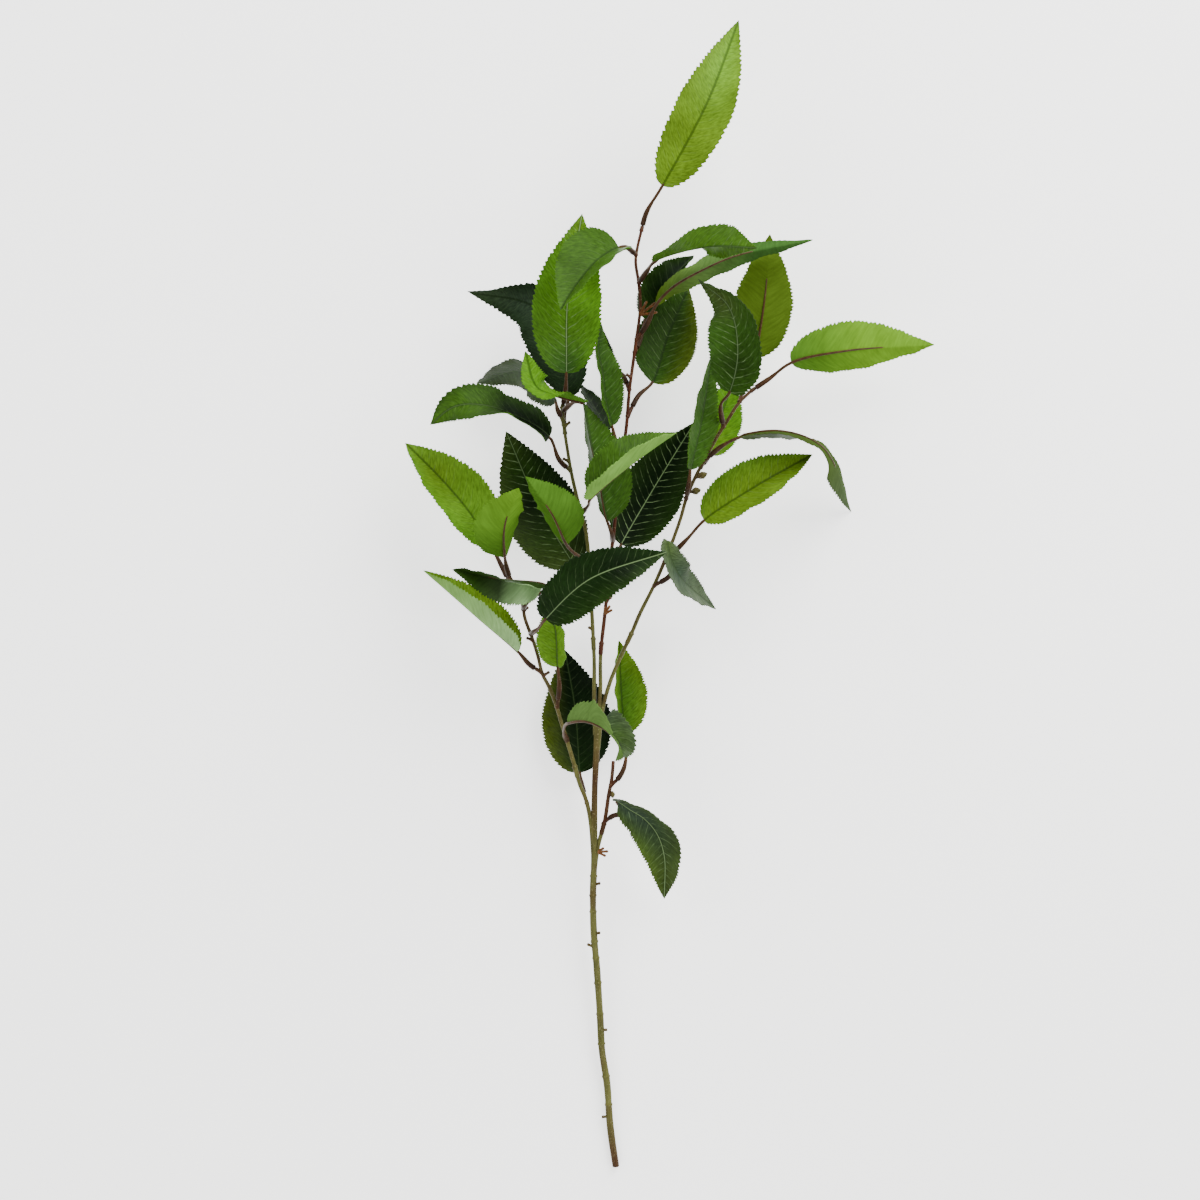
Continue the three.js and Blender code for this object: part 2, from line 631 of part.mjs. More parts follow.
// The blade as two faces, alike in their triangles, joined by a rim. Each tooth rises slowly
// towards the tip and drops back.
function blade(leaf, line) {
  const vertices = [];
  const triangles = [];
  const place = ({ point, normal }) => {
    const top = vertices.push(point.clone().addScaledVector(normal, BLADE_THICKNESS / 2)) - 1;
    vertices.push(point.clone().addScaledVector(normal, -BLADE_THICKNESS / 2));
    return top;
  };
  const facet = (a, b, c) => {
    triangles.push([a, b, c], [a + 1, c + 1, b + 1]);
  };
  const ribs = [];
  for (let i = 0; i <= TEETH; i++) ribs.push(place(foldPoint(leaf, line, i / TEETH)));
  const rim = { "-1": [], 1: [] };
  const middles = { "-1": [], 1: [] };
  for (const side of [-1, 1]) {
    for (let i = 0; i <= TEETH; i++) {
      const share = i / TEETH;
      const notch = i === 0 || i === TEETH ? 0 : TOOTH_DEPTH;
      middles[side].push(place(bladePoint(leaf, line, share, side, 0.55)));
      rim[side].push(place(bladePoint(leaf, line, share, side, 1, notch)));
      if (i < TEETH) rim[side].push(place(bladePoint(leaf, line, share + 0.75 / TEETH, side, 1)));
    }
    for (let i = 0; i < TEETH; i++) {
      const [m, n] = [middles[side][i], middles[side][i + 1]];
      const [notch, tooth, next] = rim[side].slice(2 * i, 2 * i + 3);
      const faces = [
        [ribs[i], m, n],
        [ribs[i], n, ribs[i + 1]],
        [m, notch, tooth],
        [m, tooth, n],
        [n, tooth, next],
      ];
      for (const [a, b, c] of faces) {
        if (side > 0) facet(a, b, c);
        else facet(a, c, b);
      }
    }
  }
  const loop = [
    ...rim[1],
    middles[1][TEETH],
    ribs[TEETH],
    middles[-1][TEETH],
    ...rim[-1].toReversed(),
    middles[-1][0],
    ribs[0],
    middles[1][0],
  ];
  loop.forEach((a, i) => {
    const b = loop[(i + 1) % loop.length];
    triangles.push([a, a + 1, b + 1], [a, b + 1, b]);
  });
  return solidOf(vertices, triangles);
}

// The socket, the stalk and the spine under the blade, as one tapered sweep with a blind bore.
function spine(leaf, line, mouth) {
  const bore = PEG_RADIUS + CLEARANCE;
  const boreEnd = mouth + PEG_LENGTH + CLEARANCE;
  const socketEnd = Math.min(mouth + SOCKET_LENGTH, line.bladeStart - 2);
  const rings = [
    line.ring(boreEnd, bore),
    line.ring(mouth, bore),
    line.ring(mouth, SOCKET_RADIUS),
    line.ring(Math.max(boreEnd + 1, (mouth + socketEnd) / 2), SOCKET_RADIUS),
    line.ring(Math.max(boreEnd + 3, socketEnd), STALK_RADIUS),
  ];
  for (const share of [0.06, 0.3, SPINE_SHARE]) {
    const frame = bladeFrame(leaf, line, share);
    const radius = THREE.MathUtils.lerp(SPINE_RADIUS, SPINE_END_RADIUS, share / SPINE_SHARE);
    const middle = frame.middle.clone().addScaledVector(frame.face, SPINE_GRIP - radius);
    rings.push({ middle, way: frame.way, radius });
  }
  return sweep(rings, STALK_SIDES);
}

// Assembly

function meshOf(name, solid, colour) {
  const material = new THREE.MeshStandardMaterial({ color: colour, roughness: 0.6, metalness: 0 });
  const mesh = new THREE.Mesh(geometryOf(solid), material);
  mesh.name = name;
  return mesh;
}

const surface = solidOfGeometry(new THREE.BoxGeometry(2000, 2000, 40).translate(0, 0, -20));
const branch = new THREE.Group();
const spray = new THREE.Group();
spray.position.copy(ORIGIN).negate();
branch.add(spray);

// What leaves a branch below its joint is part of the main stem.
const grown = Object.fromEntries(["main_stem", ...Object.keys(BRANCHES)].map((name) => [name, []]));
const owner = (name, at) => (at < BRANCHES[name].joint ? "main_stem" : name);
for (const [name, leaf] of Object.entries(LEAVES)) {
  const line = leafLine(leaf);
  const mouth = socketMouth(leaf, line);
  const solid = blade(leaf, line).add(spine(leaf, line, mouth)).subtract(surface);
  spray.add(meshOf(name, solid, LEAF_COLOURS[leaf.colour]));
  grown[owner(leaf.on, leaf.at)].push(peg(line, mouth));
}
for (const [name, { nubs, radius }] of Object.entries(BRANCHES)) {
  for (const bud of nubs) grown[owner(name, bud.at)].push(nub(branchLines[name], bud, radius[0]));
}
for (const bud of MAIN_STEM.nubs) grown.main_stem.push(nub(mainLine, bud, MAIN_STEM.radius[0]));

const fused = (solid, pieces) => pieces.reduce((whole, piece) => whole.add(piece), solid);
const stubs = Object.keys(BRANCHES).map(stub);
const mainStem = fused(mainTube(), [...stubs, ...grown.main_stem]).subtract(surface);
spray.add(meshOf("main_stem", mainStem, STEM_COLOUR));
for (const name of Object.keys(BRANCHES)) {
  spray.add(meshOf(name, fused(branchTube(name), grown[name]), TWIG_COLOUR));
}

export default branch;
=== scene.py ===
# %% [markdown]
# # An artificial osmanthus branch
#
# The branch lies on a pale surface and is seen from straight above. It is made of plastic-coated
# stems and 37 leaves of printed polyester cloth, each bonded to a moulded plastic spine. This
# lesson draws the lines of the stems, makes the leaves one by one, then makes the stems that carry
# them, and gives each piece its finish at the end.

# %% Load the solids
import json
import math
import bpy
import numpy as np
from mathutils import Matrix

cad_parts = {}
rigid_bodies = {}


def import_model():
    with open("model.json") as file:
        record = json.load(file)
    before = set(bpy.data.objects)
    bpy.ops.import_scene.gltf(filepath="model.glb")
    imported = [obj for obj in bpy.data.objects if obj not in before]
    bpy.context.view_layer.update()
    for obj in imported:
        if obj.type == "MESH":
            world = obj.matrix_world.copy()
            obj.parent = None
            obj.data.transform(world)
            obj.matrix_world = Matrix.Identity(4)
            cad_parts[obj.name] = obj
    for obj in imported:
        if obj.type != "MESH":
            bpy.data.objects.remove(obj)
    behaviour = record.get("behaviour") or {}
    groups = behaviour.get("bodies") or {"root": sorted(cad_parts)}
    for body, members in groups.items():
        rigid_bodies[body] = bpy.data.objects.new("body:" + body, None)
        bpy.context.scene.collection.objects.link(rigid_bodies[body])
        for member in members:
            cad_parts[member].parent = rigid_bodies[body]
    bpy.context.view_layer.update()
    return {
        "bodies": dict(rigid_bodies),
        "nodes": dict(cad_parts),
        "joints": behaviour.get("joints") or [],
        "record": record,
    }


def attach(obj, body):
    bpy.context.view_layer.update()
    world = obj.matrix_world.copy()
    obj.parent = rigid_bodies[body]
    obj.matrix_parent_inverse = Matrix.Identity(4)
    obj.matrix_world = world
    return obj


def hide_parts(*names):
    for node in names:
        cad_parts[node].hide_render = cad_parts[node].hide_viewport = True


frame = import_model()
bpy.ops.object.select_all(action="DESELECT")

# %% [markdown]
# ## The camera comes first
#
# The view is square to the surface. A camera that looks straight down needs no turn at all in
# Blender, because it looks along -Z with +Y up when it is first added. Its lens takes in 0.80 m at
# the surface from 1.5 m above it.

# %% Camera
MM = 0.001
ORIGIN = np.array([34.225, 374.305, 0.0])
VIEW_MIDDLE = np.array([-10.7, 378.0])
VIEW_WIDTH = 801.6
VIEW_HEIGHT = 1500.0
SENSOR = 36.0

bpy.ops.object.camera_add()
camera = bpy.context.object
camera.location = [*((VIEW_MIDDLE - ORIGIN[:2]) * MM), VIEW_HEIGHT * MM]
camera.data.sensor_width = SENSOR
camera.data.lens = SENSOR * VIEW_HEIGHT / VIEW_WIDTH
bpy.context.scene.camera = camera
print("lens", round(camera.data.lens, 2), "mm at", tuple(round(v, 3) for v in camera.location))

# %% [markdown]
# ## The layout
#
# Every stem is a line through a few measured points, with its radii from foot to tip and a list of
# its nubs. They are in millimetres from the middle of the cut end, as the solids are built, so a
# piece falls on its solid. A rule could grow a branch like this one, but not this very branch,
# so each stem is placed one by one.

# %% Stems
MAIN_LINE = [
    (0, 0, 2.5), (-4, 28, 3.5), (-6, 56, 5), (-9.4, 79, 6.5), (-10.7, 102, 8), (-12.7, 133, 11),
    (-14.7, 156, 14), (-15.3, 182, 17), (-14.7, 204, 19.5), (-14.5, 230, 23), (-14, 257, 26),
    (-13, 280, 29), (-13, 303, 33),
]
MAIN_RADIUS = (2.4, 2.3, 2.0)
MAIN_COLLARS = (42, 61, 83, 103, 124, 141, 152, 172, 183, 196)
MAIN_NUBS = [
    ("twig", 34, (-1, 0, 0.4), 4.5), ("twig", 92, (1, 0.2, 0.6), 4),
    ("twig", 148, (-1, 0.5, 0.5), 5.5), ("twig", 157, (1, 0.3, 0.6), 4),
    ("twig", 190, (1, 0.3, 0.5), 4.5),
]

# name: line, radius at both ends, height of the joint, nubs (form, height, way, length), tones
BRANCHES = {
    "branch_left": (
        [(-15, 207, 20), (-17, 233, 23), (-20, 247, 25), (-24, 257, 27), (-27, 268, 28),
         (-32, 285, 31), (-36, 298, 34), (-40, 312, 38), (-44, 322, 41), (-48, 330, 44),
         (-51, 342, 47), (-54, 352, 50), (-59, 366, 54), (-61, 376, 57), (-66, 384, 60),
         (-68, 391, 62)],
        (1.5, 1.05), 262,
        [("twig", 329, (1, 0.6, 0.8), 6), ("twig", 352, (-1, 0.4, 0.6), 5),
         ("twig", 371, (1, 0.8, 0.5), 4)],
        ("cane olive", "cane brown"),
    ),
    "branch_centre_left": (
        [(-14, 290, 30), (-14.5, 319, 37), (-14.5, 339, 40), (-15, 351, 42), (-16, 370, 44),
         (-17, 388, 46), (-18, 406, 48), (-20, 423, 50), (-25, 442, 52), (-29, 459, 54),
         (-32, 477, 56), (-34, 491, 58), (-35, 501, 60)],
        (1.35, 1.1), 346,
        [("twig", 359, (-1, 0.5, 0.8), 3.5), ("twig", 467, (-1, 0.5, 0.4), 5),
         ("twig", 489, (1, 0.9, 0.2), 5.5)],
        ("cane olive", "cane olive"),
    ),
    "branch_leader": (
        [(-13, 290, 31), (-10.5, 319, 38), (-10.5, 336, 41), (-10, 347, 43), (-8, 365, 45),
         (-6, 384, 47), (-4, 404, 50), (-2, 420, 53), (0, 442, 57), (2, 463, 60), (6, 487, 63),
         (8, 511, 65), (12, 541, 67), (15, 565, 68), (14, 580, 68), (12, 594, 68), (13, 602, 68),
         (15.5, 613, 68)],
        (1.3, 1.0), 343,
        [("fork", 369, (0.5, 0.8, 0.8), 7), ("twig", 377, (1, 0.9, 0.5), 5),
         ("fork", 560, (1, 0.7, 0.3), 13), ("twig", 520, (-1, 0.7, 0.5), 4)],
        ("cane red", "cane red"),
    ),
    "branch_right": (
        [(-12, 280, 29), (-9, 307, 34), (-4, 325, 38), (0, 335, 40), (5, 346, 42), (10, 357, 44),
         (15, 369, 46), (24, 387, 49), (31, 403, 51), (35, 413, 53), (41, 430, 55), (45, 444, 57),
         (51, 458, 59), (56, 467, 60), (64, 482, 60), (71, 493, 60), (78, 504, 59), (86, 512, 58)],
        (1.4, 1.05), 350,
        [("bud", 447, (1, 0.2, 0.6), 8), ("bud", 456, (1, 0.4, 0.4), 8)],
        ("cane olive", "cane brown"),
    ),
    "branch_low_right": (
        [(-14.5, 196, 19), (-12, 216, 20.5), (-9, 227, 21.5), (-7, 236, 22.5), (-5, 250, 24),
         (-3, 261, 27), (-2, 272, 30)],
        (1.5, 1.2), 224,
        [("fork", 212, (1, 0.1, 0.5), 7), ("bud", 250, (1, 0.1, 0.3), 3)],
        ("cane brown", "cane red"),
    ),
}
print("branches", len(BRANCHES))

# %% [markdown]
# ## The leaves, one row each
#
# A leaf is the same few values every time, so all 37 of them are made by the same two functions
# from a table. A row ends with the leaf's print. The factory prints one cloth in many greens, and a
# leaf shows its upper side, its back or a part of each, so both sides have their own tones.

# %% Leaves
# A row gives the stem that carries the leaf, the height on it, the points of the stalk, the points
# of the rib from base to tip, the width, then in degrees the roll along the rib, the fold and the
# curl of the left and the right half. The print follows: the tones of the upper side from base to
# tip, of the left and the right margin, and of the back from base to tip, the strength of the pale
# veins and the lightness of the midrib. What is the same all along or on both sides is given once.
# The deep and black tones hold painted shade as well as the print on leaves that lie low behind
# others.
LEAVES = {
    "leaf_top": ("branch_leader", 613, [(19, 625, 70)],
        [(29, 641, 75), (56, 690, 82), (78, 748.6, 64)], 38, (5, 0), 8, 10,
        ("yellow", "yellow", "light", "light"), "yellow", "soft", 0.15, 0.0),
    "leaf_02": ("branch_centre_left", 501, [(-33, 509, 66)],
        [(-32, 522, 76), (-31, 567, 88), (-22, 621, 86)], 46, 0, 8, 12,
        ("cool", "fresh", "bright", "bright", "yellow"), ("fresh", "bright"), "soft", 0.5, 0.7),
    "leaf_03": ("branch_leader", 598, [(6, 601, 80)],
        [(1, 600, 86), (-11, 591, 100), (-21, 579, 109), (-29, 567, 115), (-35, 556, 120)],
        46, 0, (62, 0), 12,
        "mid fresh", ("fresh", "mid fresh"), "soft", 0.15, 0.0),
    "leaf_04": ("branch_centre_left", 485, [(-34, 497, 50)],
        [(-31, 510, 45), (-39, 544, 38), (-53, 568, 42), (-96, 577, 52)], 40, (0, -10, -60), 8, 14,
        ("deep", "slate", "slate", "dull"), "deep", "slate", 0.1, 0.0),
    "leaf_05": ("branch_centre_left", 493, [(-38, 500, 66)],
        [(-39, 504, 66), (-60, 526, 44), (-93, 523, 0)], 32, -60, 14, 14,
        ("slate", "dull", "dull"), "olive dark", "slate", 0.1, 0.2),
    "leaf_06": ("branch_centre_left", 461, [(-37, 468, 62)],
        [(-43, 482, 70), (-63, 494, 84), (-85, 500.5, 90), (-102, 499.5, 90), (-118, 489, 80)],
        36, (40, 60, 68, 40, 0, -10), 10, 14,
        ("black", "black", "black", "mid fresh", "mid fresh", "fresh"), "dark", "soft", 0.1, 0.15),
    "leaf_07": ("branch_centre_left", 499, [(-27, 503, 80)],
        [(-21, 502, 92), (-36, 505, 100), (-50, 510, 108), (-57, 532, 110)],
        26, (85, 85, 30, 0), 10, 14,
        "bright", "bright", "soft", 0.15, 0.0),
    "leaf_08": ("branch_leader", 416, [(-3, 420, 66)],
        [(-6, 428, 72), (-11, 454, 76), (-16, 476, 78), (-21, 503, 76)],
        44, 20, (-108, 5), (14, 10),
        ("mid", "mid", "mid fresh"), "mid fresh", "soft", 0.3, 0.1),
    "leaf_09": ("branch_centre_left", 434, [(-18, 438, 80)],
        [(-16, 442, 96), (6, 460, 110), (37, 483, 94)], 40, -10, (0, 95), 10,
        ("mid fresh", "mid fresh", "fresh"), "mid fresh", "pale", 0.3, 0.1),
    "leaf_10": ("branch_leader", 402, [(0, 407, 46)],
        [(3, 414, 40), (25, 452, 30), (51, 494, 34)], 44, 0, 8, 8,
        "black", "dark", "slate", 0.8, 0.7),
    "leaf_11": ("branch_centre_left", 388, [(-22, 393, 40)],
        [(-27, 400, 36), (-51, 440, 28), (-72, 488, 34)], 52, 0, 8, 8,
        ("olive dark", "dark", "black", "dark", "olive dark"),
        ("olive", "black"), "slate", 0.7, 0.4),
    "leaf_12": ("branch_centre_left", 402, [(-26, 407, 62)],
        [(-32, 413, 72), (-41, 432, 92), (-57, 455, 98)], 40, 185, (0, 72), 14,
        "fresh", "fresh", "soft", 0.1, 0.2),
    "leaf_13": ("branch_left", 391, [(-70, 398, 68)],
        [(-71, 405, 76), (-70, 425, 98), (-61, 447, 114)], 40, 180, (60, 0), 14,
        "fresh", "fresh", ("soft", "light"), 0.1, 0.2),
    "leaf_14": ("branch_left", 385, [(-76, 404, 58)],
        [(-81, 413, 56), (-95, 435, 62), (-111, 454, 62), (-136, 479, 54)], 42, 0, (48, 0), 10,
        ("fresh", "light", "yellow", "light"), ("bright", "light"), "soft", 0.2, 0.0),
    "leaf_15": ("branch_left", 372, [(-58, 376, 68)],
        [(-45, 387, 84), (-73, 391, 94), (-103, 397, 96)], 32, (180, 200, 230), (-120, 5), 14,
        ("dark", "dark", "mid"), "dark", ("mist", "mist", "dull", "dark", "dark"), 0.1, 0.2),
    "leaf_16": ("branch_left", 331, [(-56, 336, 46)],
        [(-64, 345, 50), (-87, 365, 60), (-124, 397, 56)], 34, 10, (112, 0), 14,
        ("yellow", "yellow", "light"), "yellow", ("mist", "pale"), 0.3, 0.2),
    "leaf_17": ("branch_left", 356, [(-50, 360, 72)],
        [(-45, 366, 86), (-17, 391, 108), (31, 408, 100)], 36, (10, 0), 10, 12,
        ("deep", "deep", "black", "deep"), ("deep", "dark"), "slate", 0.2, 0.6),
    "leaf_18": ("branch_right", 387, [(35, 395, 57), (33, 406, 58)],
        [(32, 416, 66), (34, 405, 70), (40, 393, 66), (47, 386, 56), (65, 372, 34)],
        24, (-50, -55, -60), (20, 0), 14,
        ("olive", "slate", "grey green", "grey green"), "grey green", "grey green", 0.1, 0.1),
    "leaf_19": ("branch_left", 308, [(-37, 322, 46)],
        [(-38, 335, 50), (-39, 357, 58), (-43, 378, 62)], 28, 0, (0, 60), 14,
        "light", "light", "pale", 0.3, 0.2),
    "leaf_20": ("branch_left", 244, [(-22, 254, 21)],
        [(-24, 264, 17), (-27, 304, 9), (-34, 345, 14)], 48, 0, 8, 6,
        ("deep", "black", "black", "black"), ("olive yellow", "black"), "slate", 0.1, 0.1),
    "leaf_21": ("branch_low_right", 256, [(2, 262, 28), (6, 272, 31)],
        [(5, 290, 25), (3, 319, 20), (2, 351, 12)], 36, 0, (75, 0), 10,
        ("fresh", "fresh", "yellow"), "yellow", "soft", 0.15, 0.0),
    "leaf_22": ("branch_left", 286, [(-34, 294, 58)],
        [(-31, 300, 76), (-20, 302, 91), (-10, 299, 100), (0, 290, 96), (3, 277, 70)],
        30, (-150, -150, -45, -15, -15), 45, 14,
        ("slate", "slate", "slate", "moss", "moss", "grey green"),
        ("grey green", "moss"), "moss", 0.5, 0.0),
    "leaf_23": ("branch_low_right", 232, [(-1, 237, 28), (5, 238, 31)],
        [(0, 247, 37), (9, 242, 44), (18, 236.5, 47), (26, 227, 46), (31, 212, 42),
         (31.5, 182, 26)],
        32, (45, 30, 5, 0, 0), (30, 8), 14,
        ("slate", "slate", "dull", "olive", "olive"),
        ("olive", "olive fresh"), "grey green", 0.45, 0.7),
    "leaf_24": ("branch_right", 402, [(46, 418, 60)],
        [(56, 429, 66), (88, 450, 74), (125, 471, 64)], 38, 0, (0, 50), 10,
        "yellow", ("fresh", "yellow"), "soft", 0.25, 0.0),
    "leaf_25": ("branch_right", 467, [(67, 476, 70)],
        [(78, 481, 78), (102, 484, 84), (131, 476, 62), (157, 437, 0)],
        30, (80, 95, 130, 130), 8, 14,
        ("olive", "slate", "olive", "grey green"),
        ("olive", "grey green"), ("olive", "olive", "grey green"), 0.15, 0.2),
    "leaf_26": ("branch_right", 512, [(98, 520, 60)],
        [(112, 530, 62), (146, 537, 66), (205, 543, 50)], 40, 180, (50, 5), 10,
        "light", "light", ("soft", "light", "light"), 0.1, 0.2),
    "leaf_27": ("branch_right", 505, [(83, 518, 52)],
        [(89, 535, 52), (95, 571, 58), (99, 614, 50)], 40, 180, 8, 10,
        "yellow", "yellow", "olive fresh", 0.1, 0.2),
    "leaf_28": ("branch_right", 489, [(66, 502, 76)],
        [(71, 509, 86), (75, 533, 104), (70, 559, 106), (51, 579, 92)],
        38, (0, 0, -15, -45, -65), (5, 28), 14,
        ("mid", "dark", "mid", "olive", "olive"), "mid", "dull", 0.6, 0.4),
    "leaf_29": ("branch_right", 443, [(46, 452, 68)],
        [(47, 461, 71), (54, 493, 72), (60, 533, 68)], 28, 50, 8, 14,
        "mid", "mid fresh", "soft", 0.2, 0.1),
    "leaf_30": ("branch_right", 463, [(59, 470, 50)],
        [(60, 472, 42), (67, 495, 38), (77, 523, 36)], 32, 0, 8, 10,
        ("yellow", "bright", "bright"), "bright", "soft", 0.2, 0.1),
    "leaf_31": ("branch_leader", 580, [(19, 586, 80)],
        [(25, 590, 98), (56, 596, 114), (87, 598, 98)], 38, (85, 75, 45, 20, 10), (0, -50), 14,
        ("mid fresh", "fresh", "fresh", "fresh"), "fresh", "soft", 0.25, 0.1),
    "leaf_32": ("branch_leader", 544, [(19, 553, 72)],
        [(25, 565, 78), (35, 575, 84), (55, 586, 88), (75, 595, 84), (125, 608, 66)],
        31, (185, 185, 190), 56, 14,
        "mid", "mid", ("olive fresh", "moss", "cool", "cool"), 0.1, 0.2),
    "leaf_33": ("branch_leader", 536, [(15, 545, 58)],
        [(19, 559, 52), (33, 582, 54), (50, 601, 46)], 30, 0, (8, 72), 14,
        ("mid", "black", "black", "black"), "dark", "mid", 0.1, 0.1),
    "leaf_34": ("branch_leader", 495, [(14, 509, 60)],
        [(23, 518, 56), (33, 548, 46), (47, 582, 36)], 42, 0, 8, 14,
        ("mid", "dark", "dark", "dark"), ("mid", "olive yellow"), "soft", 0.3, 0.0),
    "leaf_35": ("branch_leader", 470, [(-1, 480, 68)],
        [(-3, 489, 70), (-7, 504, 75), (-9, 521, 77), (-12, 538, 77), (-10, 554, 74)],
        28, 30, (45, 5), 14,
        "mid", "mid fresh", "soft", 0.25, 0.1),
    "leaf_36": ("branch_leader", 458, [(-4, 469, 54)],
        [(-7, 488, 48), (-15, 504, 42), (-24, 519, 36)], 26, 60, 8, 14,
        ("deep", "black", "black"), "dark", "slate", 0.2, 0.1),
    "leaf_37": ("branch_leader", 512, [(3, 523, 58)],
        [(-3, 521, 52), (-8, 538, 46), (-11, 557, 40)], 13, 0, 8, 14,
        "black", "deep", "slate", 0.1, 0.1),
}
LEAF_VALUES = ("on", "at", "stalk", "rib", "width", "roll", "fold", "curl", "upper", "rim", "under",
               "veins", "midrib")
GIVEN_ONCE = ("roll", "fold", "curl", "upper", "rim", "under")
print("leaves", len(LEAVES))

# %% [markdown]
# ## Walking along a stem
#
# A leaf doesn't care how a stem was drawn. It asks where the stem is at a height, and which way it
# runs there. So each line is turned into many close points of one smooth curve, and everything
# else is read off those points by distance. The curve weighs its spans by the square root of their
# length, which keeps it from looping where the points lie unevenly.

# %% Smooth lines
SPAN_STEPS = 40


class Line:
    """A smooth line through points in millimetres, read by the distance from its start."""

    def __init__(self, points):
        p = np.array(points, float)
        p = np.vstack([2 * p[0] - p[1], p, 2 * p[-1] - p[-2]])
        t = np.linspace(0, 1, SPAN_STEPS + 1)[:-1, None]
        parts = []
        for p0, p1, p2, p3 in zip(p, p[1:], p[2:], p[3:]):
            d0, d1, d2 = (np.linalg.norm(b - a) ** 0.5 for a, b in ((p0, p1), (p1, p2), (p2, p3)))
            out = ((p1 - p0) / d0 - (p2 - p0) / (d0 + d1) + (p2 - p1) / d1) * d1
            into = ((p2 - p1) / d1 - (p3 - p1) / (d1 + d2) + (p3 - p2) / d2) * d1
            parts.append(p1 + out * t + (3 * (p2 - p1) - 2 * out - into) * t**2
                         + (2 * (p1 - p2) + out + into) * t**3)
        self.fine = np.vstack([*parts, p[-2]])
        steps = np.linalg.norm(np.diff(self.fine, axis=0), axis=1)
        self.lengths = np.concatenate([[0], np.cumsum(steps)])
        self.total = self.lengths[-1]
        ways = np.gradient(self.fine, axis=0)
        self.ways = ways / np.linalg.norm(ways, axis=1, keepdims=True)

    def _read(self, table, distance):
        return np.stack([np.interp(distance, self.lengths, table[:, k]) for k in range(3)], -1)

    def at(self, distance):
        return self._read(self.fine, distance)

    def way(self, distance):
        way = self._read(self.ways, distance)
        return way / np.linalg.norm(way, axis=-1, keepdims=True)

    def distance_of(self, index):
        return self.lengths[index * SPAN_STEPS]

    def distance_at_height(self, y):
        return float(np.interp(y, self.fine[:, 1], self.lengths))

    def gap_to(self, point):
        return np.linalg.norm(self.fine - point, axis=1).min()


main_line = Line(MAIN_LINE)
branch_lines = {name: Line(row[0]) for name, row in BRANCHES.items()}
for name, line in branch_lines.items():
    print(name, round(line.total), "mm")


# %% [markdown]
# ## Colours
#
# Colours are written as the sRGB hex values that a colour picker gives. Blender's shaders want
# linear values, so one function turns them. The tones have plain names, for the rows above to use.
# They are stored on the points of each piece, so that one material serves all the leaves and the
# tone can drift within a leaf.

# %% Palette
def linear(hex_value):
    """An sRGB hex value as linear red, green, blue and 1."""
    parts = [(hex_value >> shift & 255) / 255 for shift in (16, 8, 0)]
    return (*(c / 12.92 if c < 0.04045 else ((c + 0.055) / 1.055) ** 2.4 for c in parts), 1.0)


TONES = {
    "light": 0x577E1E,
    "bright": 0x477214,
    "yellow": 0x4E6A14,
    "fresh": 0x395A16,
    "mid fresh": 0x324F16,
    "mid": 0x274212,
    "dark": 0x1F340E,
    # deep and black are the print, and on leaves that lie low behind others painted shade as well
    "deep": 0x12240A,
    "black": 0x0A1607,
    "cool": 0x325122,
    "slate": 0x2D3B2C,
    "dull": 0x2B3A21,
    "olive": 0x36461D,
    "olive dark": 0x283513,
    "olive fresh": 0x3E5316,
    "olive yellow": 0x424F15,
    "grey green": 0x424F38,
    "pale": 0x648B3E,
    "mist": 0x7E9F6A,
    "moss": 0x496330,
    "soft": 0x42661F,
    "cane olive": 0x4E4E27,
    "cane brown": 0x3F2A19,
    "cane red": 0x422216,
    "cane orange": 0x664023,
    "socket brown": 0x2D1D13,
}
TONES = {name: np.array(linear(value)) for name, value in TONES.items()}
print("tones", len(TONES))

# %% [markdown]
# ## One piece from a grid
#
# Tubes and blades start as a grid primitive, which already has its faces, their order and a UV
# map. Moving its points gives the shape, as a sculptor bends a flat sheet. For a tube the two long
# edges meet, so doubles are merged, which also closes the ends where the radius falls to nothing.

# %% Grid helper
FEWEST_RIPPLED_SIDES = 9
TUBE_SMOOTH = 50
MERGE_DISTANCE = 0.002 * MM
EMPTY_EDGE = 0.0001 * MM


def grid_piece(name, along, across):
    """A flat grid, with the index of each of its points along and across."""
    bpy.ops.mesh.primitive_grid_add(x_subdivisions=along, y_subdivisions=across, size=1)
    piece = bpy.context.object
    piece.name = piece.data.name = name
    flat = np.zeros(len(piece.data.vertices) * 3)
    piece.data.vertices.foreach_get("co", flat)
    flat = flat.reshape(-1, 3)
    i = np.rint((flat[:, 0] + 0.5) * along).astype(int)
    j = np.rint((flat[:, 1] + 0.5) * across).astype(int)
    return piece, i, j


def place(piece, points):
    """Moves the points of a piece to these places, in millimetres of the layout."""
    piece.data.vertices.foreach_set("co", ((points - ORIGIN) * MM).astype(np.float32).ravel())
    piece.data.update()


def paint(piece, name, kind, values):
    """Stores a value for each point, for a material to read."""
    layer = piece.data.attributes.new(name, kind, "POINT")
    layer.data.foreach_set("color" if kind == "FLOAT_COLOR" else "vector",
                           np.ascontiguousarray(values, np.float32).ravel())


def edit_mesh(*steps):
    """Runs mesh operators, each with its settings, on the whole of the active piece."""
    bpy.ops.object.mode_set(mode="EDIT")
    bpy.ops.mesh.select_all(action="SELECT")
    for step, settings in steps:
        step(**settings)
    bpy.ops.object.mode_set(mode="OBJECT")


def finish_mesh(angle):
    """Shades the active piece smooth up to an angle in degrees and deselects it."""
    bpy.ops.object.shade_smooth_by_angle(angle=math.radians(angle))
    bpy.ops.object.select_all(action="DESELECT")


def ripple(angle, i):
    """The slight unevenness of a plastic coat: two low waves round, drifting along."""
    return 1 + 0.035 * np.sin(2 * angle + 0.31 * i) + 0.025 * np.sin(3 * angle - 0.17 * i)


